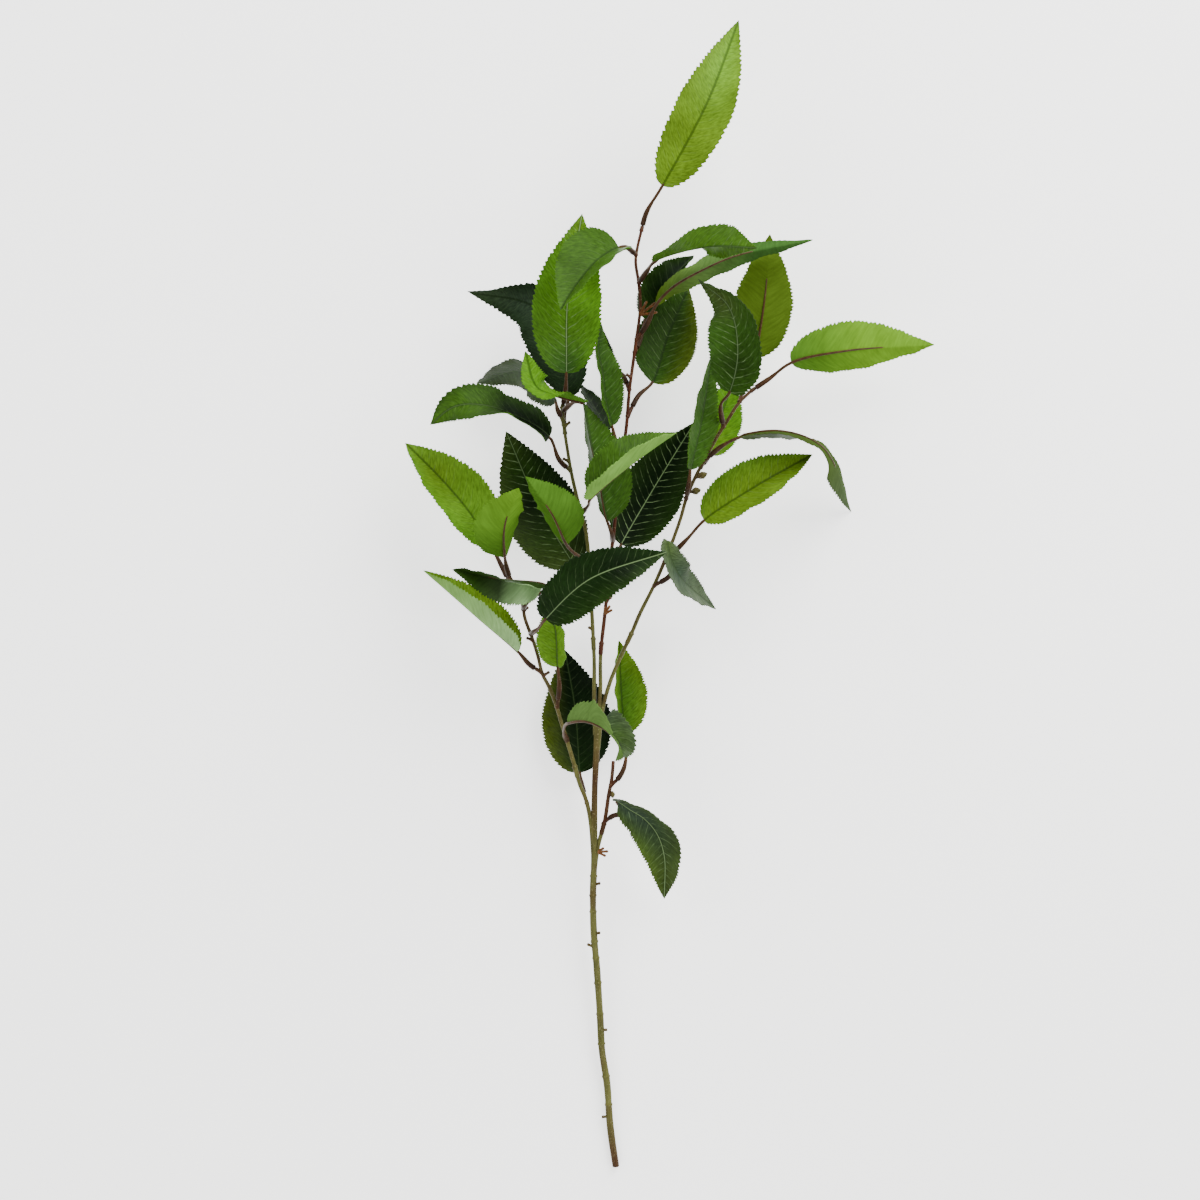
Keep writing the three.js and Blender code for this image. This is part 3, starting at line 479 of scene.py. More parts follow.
def tube(name, middles, ways, radii, sides, tones):
    """A round tube through rings, closed at both ends, painted ring by ring."""
    rings = len(middles)
    piece, i, j = grid_piece(name, rings - 1, sides)
    across = np.array([0.0, 0.0, 1.0]) if abs(ways[0][2]) < 0.9 else np.array([1.0, 0.0, 0.0])
    sides_of_ring = np.zeros((rings, 3))
    for k, way in enumerate(ways):
        across = across - way * across.dot(way)
        across = across / np.linalg.norm(across)
        sides_of_ring[k] = across
    third = np.cross(ways, sides_of_ring)
    angle = 2 * np.pi * (j % sides) / sides
    radius = np.asarray(radii)[i] * (ripple(angle, i) if sides >= FEWEST_RIPPLED_SIDES else 1)
    points = (middles[i] + sides_of_ring[i] * (radius * np.cos(angle))[:, None]
              + third[i] * (radius * np.sin(angle))[:, None])
    place(piece, points)
    paint(piece, "tone", "FLOAT_COLOR", tones[i])
    edit_mesh((bpy.ops.mesh.remove_doubles, {"threshold": MERGE_DISTANCE}),
              (bpy.ops.mesh.dissolve_degenerate, {"threshold": EMPTY_EDGE}),
              (bpy.ops.mesh.normals_make_consistent, {"inside": False}))
    finish_mesh(TUBE_SMOOTH)
    return piece


def blend_tones(names, shares):
    """Colours between tones, placed evenly from 0 to 1."""
    stops = np.stack([TONES[n] for n in names])
    places = np.linspace(0, 1, len(names))
    return np.stack([np.interp(shares, places, stops[:, k]) for k in range(4)], -1)


# %% [markdown]
# ## Stems
#
# A real stem of this kind is steel wire dipped or moulded in olive plastic. It has a low ring every
# few centimetres where a bud scar is imitated, and small nubs. A bevelled curve would give an even
# hose, so the stem is a tube whose radius is set ring by ring.

# %% Stem tubes
STEM_STEP = 2.2
COLLAR_RINGS = np.array([-1.6, -0.7, -0.2, 0.35, 1.1])
COLLAR_REACH = 1.9
COLLAR_HEIGHT = 0.5
COLLAR_WIDTH = 0.55
NECK_DEPTH = 0.12
NECK_OFFSET = 2.2
NECK_WIDTH = 1.0
CUT_ROUNDING = 0.25
TIP_ROUNDING = 0.5
RIM_RADII = np.array([1, 0.96, 0.8, 0.5, 0.0])
RIM_STEPS = np.array([0, 0.45, 0.8, 0.95, 1.0])


def rounded(middle, way, radius, depth, sign):
    """Rings that close an end with a rounded rim."""
    order = slice(None) if sign > 0 else slice(None, None, -1)
    steps = RIM_STEPS * depth * sign
    return (middle + way * steps[:, None])[order], (RIM_RADII * radius)[order]


def stem(name, line, start, end, radius_at, collars, tones, sides):
    """A stem with rounded ends and a ring at each collar."""
    distance = np.linspace(start, end, int((end - start) / STEM_STEP))
    for collar in collars:
        plain = distance[np.abs(distance - collar) > COLLAR_REACH]
        distance = np.concatenate([plain, COLLAR_RINGS + collar])
    distance = np.sort(distance)
    radii = radius_at(distance)
    for collar in collars:
        beyond = distance - collar
        radii = radii + COLLAR_HEIGHT * np.exp(-((beyond / COLLAR_WIDTH) ** 2))
        radii = radii - NECK_DEPTH * np.exp(-(((beyond - NECK_OFFSET) / NECK_WIDTH) ** 2))
    middles, ways = line.at(distance), line.way(distance)
    first, r_first = rounded(middles[0], ways[0], radii[0], CUT_ROUNDING * radii[0], -1)
    last, r_last = rounded(middles[-1], ways[-1], radii[-1], TIP_ROUNDING * radii[-1], 1)
    middles = np.vstack([first[:-1], middles, last[1:]])
    rim = len(RIM_STEPS) - 1
    ways = np.vstack([np.repeat(ways[:1], rim, 0), ways, np.repeat(ways[-1:], rim, 0)])
    radii = np.concatenate([r_first[:-1], radii, r_last[1:]])
    shares = np.concatenate([np.zeros(rim), (distance - start) / (end - start), np.ones(rim)])
    return tube(name, middles, ways, radii, sides, blend_tones(tones, shares))


# %% [markdown]
# ## Nubs, buds and twiglets
#
# They break the even line of a stem. A nub is a short twig with a swollen end, a bud is a small
# lens on a neck, and a forked twiglet is three arms that leave one point. Each starts inside the
# stem, so that it grows out of it without a seam. Twiglets are a clear orange brown, and buds turn
# from brown to olive.

# %% Nub shapes
TWIG_SIDES = 8
NUB_SHAPES = {
    "twig": ((0, 0.15, 0.35, 0.55, 0.65, 0.75, 0.8), (1.5, 1.3, 0.95, 0.9, 1.1, 0.9, 0)),
    "fork": ((0, 0.15, 0.4, 0.7, 0.82, 0.94, 1.0), (1.4, 1.1, 0.85, 0.8, 0.95, 0.8, 0)),
    "bud": ((0, 0.15, 0.25, 0.4, 0.62, 0.85, 1.0), (1.0, 0.8, 0.9, 2.0, 2.5, 1.4, 0)),
}
FORK_ARMS = ((0, 1), (0.55, 0.8), (-0.5, 0.65))
NUB_TONES = {"fork": ("cane orange", "cane orange"), "bud": ("cane brown", "cane olive")}


def nub(name, line, form, height, toward, length, radius, tones):
    """One nub, bud or forked twiglet on a stem."""
    start = line.at(line.distance_at_height(height))
    way = np.array(toward, float) / np.linalg.norm(toward)
    side = np.cross(way, (0, 0, 1))
    shares, radii = NUB_SHAPES[form]
    tones = NUB_TONES.get(form, tones)
    made = []
    for k, (aside, reach) in enumerate(FORK_ARMS if form == "fork" else FORK_ARMS[:1]):
        arm = way + aside * side
        arm = arm / np.linalg.norm(arm)
        middles = start + arm * (np.array(shares) * (radius + reach * length))[:, None]
        ways = np.repeat(arm[None], len(shares), 0)
        made.append(tube(f"{name}_{k}", middles, ways, np.array(radii), TWIG_SIDES,
                         blend_tones(tones, np.array(shares))))
    return made


# %% [markdown]
# ## Pegs
#
# Each leaf is pushed on a thin peg that stands on a short stub of its stem. What leaves a branch
# below its joint grows on the stub of the main stem, so it belongs to that piece. Modelling the
# pegs, though they are hidden, keeps stalk and stem in line and leaves no gap at the socket.

# %% Pegs
STUB_FOOT_RADIUS = 1.7
STUB_RADIUS = 1.25
STUB_BEVEL = (0.3, 0.25)
PEG_RADIUS = 0.8
PEG_LENGTH = 5.5
CLEARANCE = 0.3
SHARP_STEP = 0.02


def owner(name, height):
    """What leaves a branch below its joint is part of the main stem."""
    return "main_stem" if height < BRANCHES[name][2] else name


def peg(name, line, mouth, tones):
    """The stub and the thinner peg that carry one leaf's socket."""
    top, end = mouth - CLEARANCE, mouth + PEG_LENGTH
    distance = np.array([0, 0.35 * mouth, top - STUB_BEVEL[0], top, top + SHARP_STEP, end,
                         end + 0.1])
    radii = np.array([STUB_FOOT_RADIUS, STUB_RADIUS + 0.1, STUB_RADIUS,
                      STUB_RADIUS - STUB_BEVEL[1], PEG_RADIUS, PEG_RADIUS, 0])
    return tube(name, line.at(distance), line.way(distance), radii, TWIG_SIDES,
                blend_tones(tones, distance / distance[-1]))


# %% [markdown]
# ## The blade
#
# A real blade is die-cut from printed polyester cloth and heat-pressed over its spine, which folds
# it along the rib and leaves the pattern of its veins in relief. A plane could be cut to the
# outline and then bent by a curve, but it would lose the fold. So the blade is a grid with a row
# for every quarter of a tooth and a column for every step away from the rib, and each job is one
# rule for where the points go. The first rules are the outline and where the blade faces.

# %% Blade outline and frame
BLADE_THICKNESS = 0.45
BLADE_SMOOTH = 60
ALONG = 144
OUT = np.concatenate([[0, 0.035, 0.09], np.linspace(0.17, 0.95, 9), [1.0]])
OUT_STEPS = len(OUT) - 1
WIDEST_AT = 0.42
BASE_POWER = 2.2
TIP_POWER = 1.7
NARROWEST = 0.012


def outline(share):
    """Half width at a share of the length: round base, pointed tip."""
    back = np.clip((WIDEST_AT - share) / WIDEST_AT, 0, 1)
    ahead = np.clip((share - WIDEST_AT) / (1 - WIDEST_AT), 0, 1)
    width = np.where(share < WIDEST_AT, (1 - back**BASE_POWER) ** (1 / BASE_POWER),
                     1 - ahead**TIP_POWER)
    return np.maximum(width, NARROWEST)


def value_along(values, share):
    """A value part of the way along an evenly spaced list."""
    return np.interp(share, np.linspace(0, 1, len(values)), values)


def blade_frame(leaf, line, share):
    """Middle of the rib, way to the tip, right-hand side and face normal at shares of the blade."""
    distance = line.blade_start + (line.total - line.blade_start) * share
    way = line.way(distance)
    flat_right = np.cross(way, (0, 0, 1))
    flat_right = flat_right / np.linalg.norm(flat_right, axis=-1, keepdims=True)
    flat_face = np.cross(flat_right, way)
    roll = np.radians(value_along(leaf["roll"], share))[..., None]
    right = flat_right * np.cos(roll) - flat_face * np.sin(roll)
    face = flat_face * np.cos(roll) + flat_right * np.sin(roll)
    return line.at(distance), way, right, face


# %% [markdown]
# ## Teeth, fold, veins and wave
#
# Each tooth rises slowly towards the tip and drops back, and no two are quite as deep. The fold
# turns a half up within a millimetre of the rib, and the curl bends it on towards the edge. The
# veins are grooves that leave the rib aslant. Where the cloth has shrunk, its edge waves a little.
# A half is built outwards from the rib, one column after another.

# %% Half a blade
TEETH_STEPS = 4
TOOTH_DEPTH = 1.7
TOOTH_RANGE = (0.45, 1.15)
TOOTHED_FROM = 0.85
FULL_TEETH_WIDTH = 4
FULL_WAVE_WIDTH = 6
FOLD_REACH = 0.35
VEIN_SPACING = 5.6
VEIN_SLANT = 0.6
VEIN_BEND = 0.012
VEIN_SWAY = 0.06
VEIN_SWAY_RATE = 0.35
VEIN_WIDTH = 0.6
VEIN_RELIEF = 0.12
VEIN_RISE = 2
VEIN_FALL = 0.25
WAVE = 0.5
WAVES = ((3.1, 1.0), (6.3, 0.6))


def half_blade(side, fold, curl, width, length, frame, rng):
    """The columns of one half, from the rib out, as their points and their place in the print."""
    middle, right, face = frame
    rows = np.arange(ALONG + 1) / ALONG
    along = rows * length
    phase = rng.uniform(0, 6.28, 3)
    tooth, step = np.divmod(np.arange(ALONG + 1), TEETH_STEPS)
    depth = TOOTH_DEPTH * rng.uniform(*TOOTH_RANGE, tooth[-1] + 1)[tooth]
    teeth = (1 - step / (TEETH_STEPS - 1)) * depth * np.clip(width / FULL_TEETH_WIDTH, 0, 1)
    sway = VEIN_SWAY * np.sin(VEIN_SWAY_RATE * along + phase[0])
    wave = sum(share * np.sin(2 * np.pi * rows * count + start)
               for (count, share), start in zip(WAVES, phase[1:]))
    wave = WAVE * wave * np.clip(width / FULL_WAVE_WIDTH, 0, 1)

    def tilt(reach):
        return fold * (1 - np.exp(-reach / FOLD_REACH)) + curl * reach / np.maximum(width, 1)

    sideways = upwards = before = np.zeros(ALONG + 1)
    for out in OUT:
        cut = teeth * np.clip((out - TOOTHED_FROM) / (1 - TOOTHED_FROM), 0, 1)
        reach = np.maximum(width * out - cut, before)
        angle = tilt((reach + before) / 2)
        sideways = sideways + np.cos(angle) * (reach - before)
        upwards = upwards + np.sin(angle) * (reach - before)
        before = reach
        veins = (along - VEIN_SLANT * reach - VEIN_BEND * reach**2) / VEIN_SPACING + sway
        gap = np.abs(veins - np.rint(veins)) * VEIN_SPACING
        groove = VEIN_RELIEF * np.exp(-((gap / VEIN_WIDTH) ** 2))
        groove = groove * np.clip(reach / VEIN_RISE, 0, 1) * np.clip((1 - out) / VEIN_FALL, 0, 1)
        lift = (wave * out**2 - groove)[:, None]
        normal = face * np.cos(tilt(reach))[:, None] - side * right * np.sin(tilt(reach))[:, None]
        spot = middle + side * right * sideways[:, None] + face * upwards[:, None] + normal * lift
        yield spot, np.stack([veins, side * reach, along], -1)


# %% [markdown]
# ## The blade comes together
#
# The grid takes its points, its UV map and its print, which is three attributes: the tones of the
# upper side, the tones of the back, and the place in the vein pattern. Towards the edge the tone
# goes over to that of the margin. Solidify then gives the cloth its thickness. It can put the back
# on a second material, but only if the mesh already has a slot for it, so two empty slots come
# first. It also thickens along the normals, so the printed side has to be the outer one, and a
# vote of all the faces decides whether they are turned round.

# %% Blade
RIM_SHARE = 0.8
RIM_FROM = 0.15
RIM_POWER = 1.4


def print_on(piece, leaf, i, j, places):
    """Stores the UV map and the print of a blade on its points."""
    share = i / ALONG
    uv = np.stack([share, 0.5 + places[:, 1] / leaf["width"]], -1)
    corners = np.zeros(len(piece.data.loops), int)
    piece.data.loops.foreach_get("vertex_index", corners)
    piece.data.uv_layers[0].data.foreach_set("uv", uv[corners].astype(np.float32).ravel())
    out = OUT[np.abs(j - OUT_STEPS)]
    rim = RIM_SHARE * np.clip((out - RIM_FROM) / (1 - RIM_FROM), 0, 1)[:, None] ** RIM_POWER
    margin = np.where((j < OUT_STEPS)[:, None], *(TONES[tone] for tone in leaf["rim"]))
    upper = (1 - rim) * blend_tones(leaf["upper"], share) + rim * margin
    upper[:, 3] = leaf["veins"]
    under = blend_tones(leaf["under"], share)
    under[:, 3] = leaf["midrib"]
    paint(piece, "upper", "FLOAT_COLOR", upper)
    paint(piece, "under", "FLOAT_COLOR", under)
    paint(piece, "print", "FLOAT_VECTOR", places)


def turn_to_face(piece, rows_of_points, face):
    """Flips the faces of a blade if most of them look away from its printed side."""
    count = len(piece.data.polygons)
    normals = np.zeros(count * 3, np.float32)
    starts = np.zeros(count, np.int32)
    piece.data.polygons.foreach_get("normal", normals)
    piece.data.polygons.foreach_get("loop_start", starts)
    corners = np.zeros(len(piece.data.loops), np.int32)
    piece.data.loops.foreach_get("vertex_index", corners)
    rows = rows_of_points[corners[starts]]
    if (normals.reshape(-1, 3) * face[rows]).sum() < 0:
        edit_mesh((bpy.ops.mesh.flip_normals, {}))


def blade(name, leaf, line):
    """One cut, folded and pressed blade with its print stored as attributes."""
    rows = np.arange(ALONG + 1) / ALONG
    middle, _, right, face = blade_frame(leaf, line, rows)
    width = leaf["width"] / 2 * outline(rows)
    length = line.total - line.blade_start
    rng = np.random.default_rng(leaf["number"])
    points = np.zeros((ALONG + 1, 2 * OUT_STEPS + 1, 3))
    places = np.zeros_like(points)
    for side, fold, curl in zip((-1, 1), leaf["fold"], leaf["curl"]):
        columns = half_blade(side, math.radians(fold), math.radians(curl), width, length,
                             (middle, right, face), rng)
        for k, (spot, place_in_print) in enumerate(columns):
            points[:, OUT_STEPS + side * k] = spot
            places[:, OUT_STEPS + side * k] = place_in_print
    piece, i, j = grid_piece(name, ALONG, 2 * OUT_STEPS)
    place(piece, points[i, j])
    print_on(piece, leaf, i, j, places[i, j])
    turn_to_face(piece, i, face)
    piece.data.materials.append(None)
    piece.data.materials.append(None)
    thick = piece.modifiers.new("thickness", "SOLIDIFY")
    thick.thickness = BLADE_THICKNESS * MM
    thick.offset = 0
    thick.material_offset = 1
    thick.material_offset_rim = 1
    bpy.ops.object.modifier_apply(modifier=thick.name)
    finish_mesh(BLADE_SMOOTH)
    return piece


# %% [markdown]
# ## The spine
#
# The spine is injection-moulded plastic: a socket like a small trumpet that is pushed on its peg,
# a stalk, and a thin rib glued under the blade for the first two thirds of its length. It is one
# tube whose path starts inside the bore, comes out at the mouth and then runs to the rib's end.

# %% Spine
SOCKET_RADIUS = 1.9
SOCKET_LENGTH = 17.0
SOCKET_BEVEL = (0.4, 0.25)
BORE_FLOOR = 3
MOUTH_FROM = 2.0
MOUTH_STEP = 0.5
STALK_RADIUS = 1.0
SPINE_RADIUS = 0.95
SPINE_END_RADIUS = 0.4
SPINE_SHARE = 0.64
SPINE_GRIP = 0.1
SPINE_SIDES = 10
BODY_RINGS = 7
RIB_RINGS = 30
STALK_STEP = 2.0


def socket_mouth(leaf, line):
    """Where the socket's mouth clears the stem that it stands on."""
    carrier = branch_lines[leaf["on"]]
    need = SOCKET_RADIUS + BRANCHES[leaf["on"]][1][0] + CLEARANCE
    distance = MOUTH_FROM
    while distance < line.blade_start and carrier.gap_to(line.at(distance)) < need:
        distance += MOUTH_STEP
    return distance


def spine(name, leaf, line, mouth):
    """Socket, stalk and rib of one leaf."""
    bore = PEG_RADIUS + CLEARANCE
    bore_end = mouth + PEG_LENGTH + CLEARANCE
    socket_end = max(bore_end + BORE_FLOOR, min(mouth + SOCKET_LENGTH, line.blade_start - 2))
    body = np.linspace(mouth + 1.2, socket_end, BODY_RINGS)
    stalk = np.arange(socket_end + 2, line.blade_start - 0.5, STALK_STEP)
    distance = np.concatenate([[bore_end, bore_end - 0.05, mouth, mouth + SHARP_STEP,
                                mouth + SOCKET_BEVEL[0]], body, stalk])
    taper = np.interp(body, [mouth, (mouth + socket_end) / 2, socket_end],
                      [SOCKET_RADIUS, 0.9 * SOCKET_RADIUS, STALK_RADIUS])
    radii = np.concatenate([[0, bore, bore, SOCKET_RADIUS - SOCKET_BEVEL[1], SOCKET_RADIUS],
                            taper, np.full(len(stalk), STALK_RADIUS)])
    middles, ways = line.at(distance), line.way(distance)
    share = np.linspace(0.02, SPINE_SHARE, RIB_RINGS)
    middle, way, _, face = blade_frame(leaf, line, share)
    rib = SPINE_RADIUS + (SPINE_END_RADIUS - SPINE_RADIUS) * share / SPINE_SHARE
    rib[-1] = 0
    under = middle + face * (SPINE_GRIP - rib)[:, None]
    middles, ways = np.vstack([middles, under]), np.vstack([ways, way])
    radii = np.concatenate([radii, rib])
    shares = np.concatenate([np.zeros(5), np.linspace(0, 0.35, len(body)),
                             np.linspace(0.35, 0.6, len(stalk)), np.linspace(0.6, 1, RIB_RINGS)])
    tones = blend_tones(("socket brown", "cane brown", "cane brown", "cane brown"), shares)
    return tube(name, middles, ways, radii, SPINE_SIDES, tones)


# %% [markdown]
# ## The leaves are made
#
# One pass over the table. Each leaf starts on the middle of its stem, so its line runs through the
# peg, the socket, the stalk and the rib. The peg belongs to the stem and is kept for it.

# %% Make the leaves
pieces = []
grown = {"main_stem": [], **{name: [] for name in BRANCHES}}

for number, (name, row) in enumerate(LEAVES.items()):
    leaf = dict(zip(LEAF_VALUES, row), number=number)
    for key in GIVEN_ONCE:
        leaf[key] = leaf[key] if isinstance(leaf[key], tuple) else (leaf[key], leaf[key])
    carrier = branch_lines[leaf["on"]]
    start = carrier.at(carrier.distance_at_height(leaf["at"]))
    line = Line([start, *leaf["stalk"], *leaf["rib"]])
    line.blade_start = line.distance_of(1 + len(leaf["stalk"]))
    mouth = socket_mouth(leaf, line)
    cloth = blade(f"{name}_blade", leaf, line)
    moulded = spine(f"{name}_spine", leaf, line, mouth)
    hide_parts(name)
    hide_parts(name)
    pieces += [("blade", cloth), ("spine", moulded)]
    home = owner(leaf["on"], leaf["at"])
    tone = BRANCHES[leaf["on"]][4][1] if home != "main_stem" else "cane olive"
    grown[home].append(peg(f"{name}_peg", line, mouth, (tone, "socket brown")))
print("leaf pieces", len(pieces), "faces", sum(len(p.data.polygons) for _, p in pieces))

# %% [markdown]
# ## The branches are made
#
# A spray like this is assembled: the main stem is moulded with a stub and a pin for each branch,
# and the branch is pushed on with a slightly thicker sleeve. Each branch is joined with its nubs
# and the pegs of its leaves.

# %% Make the branches
BRANCH_SIDES = 12
JOINT_LENGTH = 6.0
JOINT_SLEEVE = 0.35
SLEEVE_FADE = 3
PIN_RADIUS = 0.75
PIN_ROOT = 3


def join(name, pieces):
    """Joins separate closed bodies into one piece."""
    bpy.ops.object.select_all(action="DESELECT")
    for piece in pieces:
        piece.select_set(True)
    bpy.context.view_layer.objects.active = pieces[0]
    bpy.ops.object.join()
    pieces[0].name = pieces[0].data.name = name
    bpy.ops.object.select_all(action="DESELECT")
    return pieces[0]


for name, (_, radius, joint_height, nubs, tones) in BRANCHES.items():
    line = branch_lines[name]
    joint = line.distance_at_height(joint_height)

    def radius_at(distance, line=line, radius=radius):
        return np.interp(distance, [0, line.total], radius)

    def sleeve_radius(distance, joint=joint, radius_at=radius_at):
        swell = np.clip(1 - (distance - joint - JOINT_LENGTH) / SLEEVE_FADE, 0, 1)
        return radius_at(distance) + JOINT_SLEEVE * swell

    stub = stem(f"{name}_stub", line, 0, joint - CLEARANCE, radius_at, [], ("cane olive",),
                BRANCH_SIDES)
    along_pin = np.array([joint - PIN_ROOT, joint + JOINT_LENGTH - 0.1, joint + JOINT_LENGTH])
    pin = tube(f"{name}_pin", line.at(along_pin), line.way(along_pin),
               np.array([0, PIN_RADIUS, 0]), TWIG_SIDES, blend_tones(("cane olive",), along_pin))
    grown["main_stem"] += [stub, pin]
    for form, height, toward, length in nubs:
        grown[owner(name, height)] += nub(f"{name}_nub_{height}", line, form, height, toward,
                                          length, radius[0], (tones[1], "cane brown"))
    tubes = [stem(name, line, joint, line.total, sleeve_radius, [joint + JOINT_LENGTH + 1], tones,
                  BRANCH_SIDES)]
    twig = join(f"{name}_twig", tubes + grown[name])
    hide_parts(name)
    pieces.append(("stem", twig))

# %% [markdown]
# ## The main stem is made
#
# It is thicker than the branches and carries most of the rings. The stubs, pins and pegs that grow
# on it are made by now, so joining them with it gives the one moulded piece that it is.

# %% Make the main stem
STEM_SIDES = 14
MAIN_START = 0.6

for form, height, toward, length in MAIN_NUBS:
    grown["main_stem"] += nub(f"main_nub_{height}", main_line, form, height, toward, length,
                              MAIN_RADIUS[0], ("cane olive", "cane brown"))


def main_radius(distance):
    return value_along(MAIN_RADIUS, distance / main_line.total)


collars = [main_line.distance_at_height(y) for y in MAIN_COLLARS]
tubes = [stem("main", main_line, MAIN_START, main_line.total, main_radius, collars,
              ("cane brown", *["cane olive"] * 5, "cane brown", "cane olive"), STEM_SIDES)]
main_stem = join("main_stem_cane", tubes + grown["main_stem"])
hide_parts("main_stem")
pieces.append(("stem", main_stem))
print("stems", [(p.name, len(p.data.polygons)) for kind, p in pieces if kind == "stem"])

# %% [markdown]
# ## Finishes
#
# Three things are seen: printed polyester cloth, its bare back, and moulded plastic. One small
# function adds a shader node with its settings and links, so that a material reads as a recipe.
# A pattern's size is given in millimetres, and Blender wants to know how often it repeats in a
# metre. Noise seldom leaves its middle, so the stretch from 0.3 to 0.7 is taken for all of it.

# %% Node helper
def wire(tree, made, inputs):
    """Sets inputs by place or by name. A node or a socket is linked, anything else is a value."""
    for key, value in inputs.items() if isinstance(inputs, dict) else enumerate(inputs):
        if isinstance(value, bpy.types.Node):
            value = value.outputs[0]
        if isinstance(value, bpy.types.NodeSocket):
            tree.links.new(value, made.inputs[key])
        else:
            made.inputs[key].default_value = value


def node(tree, kind, inputs=(), **settings):
    """Adds a shader node with its settings and its inputs."""
    made = tree.nodes.new("ShaderNode" + kind)
    for key, value in settings.items():
        setattr(made, key, value)
    wire(tree, made, inputs)
    return made


NOISE_RANGE = (0.3, 0.7)


def per_metre(size):
    """How often a pattern of this size in millimetres repeats in a metre."""
    return 1000.0 / size


def new_material(name):
    """An empty material with its tree and its surface shader."""
    material = bpy.data.materials.new(name)
    material.use_nodes = True
    return material, material.node_tree, material.node_tree.nodes["Principled BSDF"]


# %% [markdown]
# ### The cloth, as far as both sides go
#
# Print and back are one cloth. Each side reads its own tones and the same place in the print. The
# tone drifts in clouds, and wrinkles run with the veins, because the plates pressed them in. The
# colour is lighter and darker along them as painted shade of their relief. They are noise in the
# plane of the print, which follows the cloth wherever it bends.

# %% What both sides of the cloth share
def pressed_cloth(tree, tones, drift_size, spacing, length):
    """The tone, the place in the print, slow clouds, and wrinkles that run with the veins."""
    tone = node(tree, "Attribute", attribute_name=tones)
    pattern = node(tree, "Attribute", attribute_name="print")
    split = node(tree, "SeparateXYZ", (pattern.outputs["Vector"],))
    veins, across = split.outputs[0], split.outputs[1]
    in_space = node(tree, "TexCoord").outputs["Object"]
    drift = node(tree, "TexNoise", {"Vector": in_space, "Scale": per_metre(drift_size),
                                    "Detail": 3.0})
    run = node(tree, "Math", (veins, VEIN_SPACING / spacing), operation="MULTIPLY")
    slow = node(tree, "Math", (across, 1 / length), operation="MULTIPLY")
    in_print = node(tree, "CombineXYZ", (run, slow))
    wrinkle = node(tree, "TexNoise", {"Vector": in_print, "Scale": 1.0, "Detail": 2.0})
    return tone, veins, across, in_space, drift, wrinkle


def shaded(tree, tone, drift, wrinkle, clouds, folds):
    """Lighter and darker tone in clouds, and as painted shade in wrinkles, each between two
    strengths.
    """
    shade = node(tree, "MapRange", (drift, *NOISE_RANGE, *clouds))
    # painted shade of the wrinkles' relief, lighter and darker in the colour
    fine = node(tree, "MapRange", (wrinkle, *NOISE_RANGE, *folds))
    both = node(tree, "Math", (shade, fine), operation="MULTIPLY")
    return node(tree, "VectorMath", {0: tone, "Scale": both}, operation="SCALE")


def inked(tree, base, layers):
    """Colours laid over a base one after another, each as strongly as its node says."""
    for amount, ink in layers:
        base = node(tree, "Mix", {0: amount, 6: base, 7: ink}, data_type="RGBA").outputs[2]
    return base


# %% [markdown]
# ### Printed polyester cloth, upper side
#
# The cloth is woven polyester, coloured by a heat-transfer print and pressed between hot plates.
# The eye sees a satin surface, a green that drifts from dark to light over about 22 mm, pale side
# veins that break up, painted shade in the crease along the rib, and fine wrinkles that run with
# the veins.
# The threads, about 0.2 mm apart, are too fine for the picture, so the wrinkles are drawn 1.1 mm
# apart and 2.9 mm long. Cloth scatters nearly all its light, so it gets only a trace of gloss.

# %% Upper cloth
VEIN_GREEN = linear(0x70865B)
# the colour of the painted shade in the crease along the rib
CREASE_SHADE_GREEN = linear(0x13230B)
# the sway, the place and the edge of a stripe, in shares of the vein spacing
STRIPE_SWAY = 0.4
STRIPE_PLACE = 0.2
STRIPE_EDGE = (0.02, 0.075)
# the range of noise in which a stripe comes and goes
STRIPE_BREAKS = (0.38, 0.6)
# from where to where a thing fades, in millimetres from the rib
STRIPE_FADE = (3.0, 17.0)
CREASE_SHADE_EDGE = (0.3, 1.3)
MIDRIB_EDGE = (0.15, 0.5)


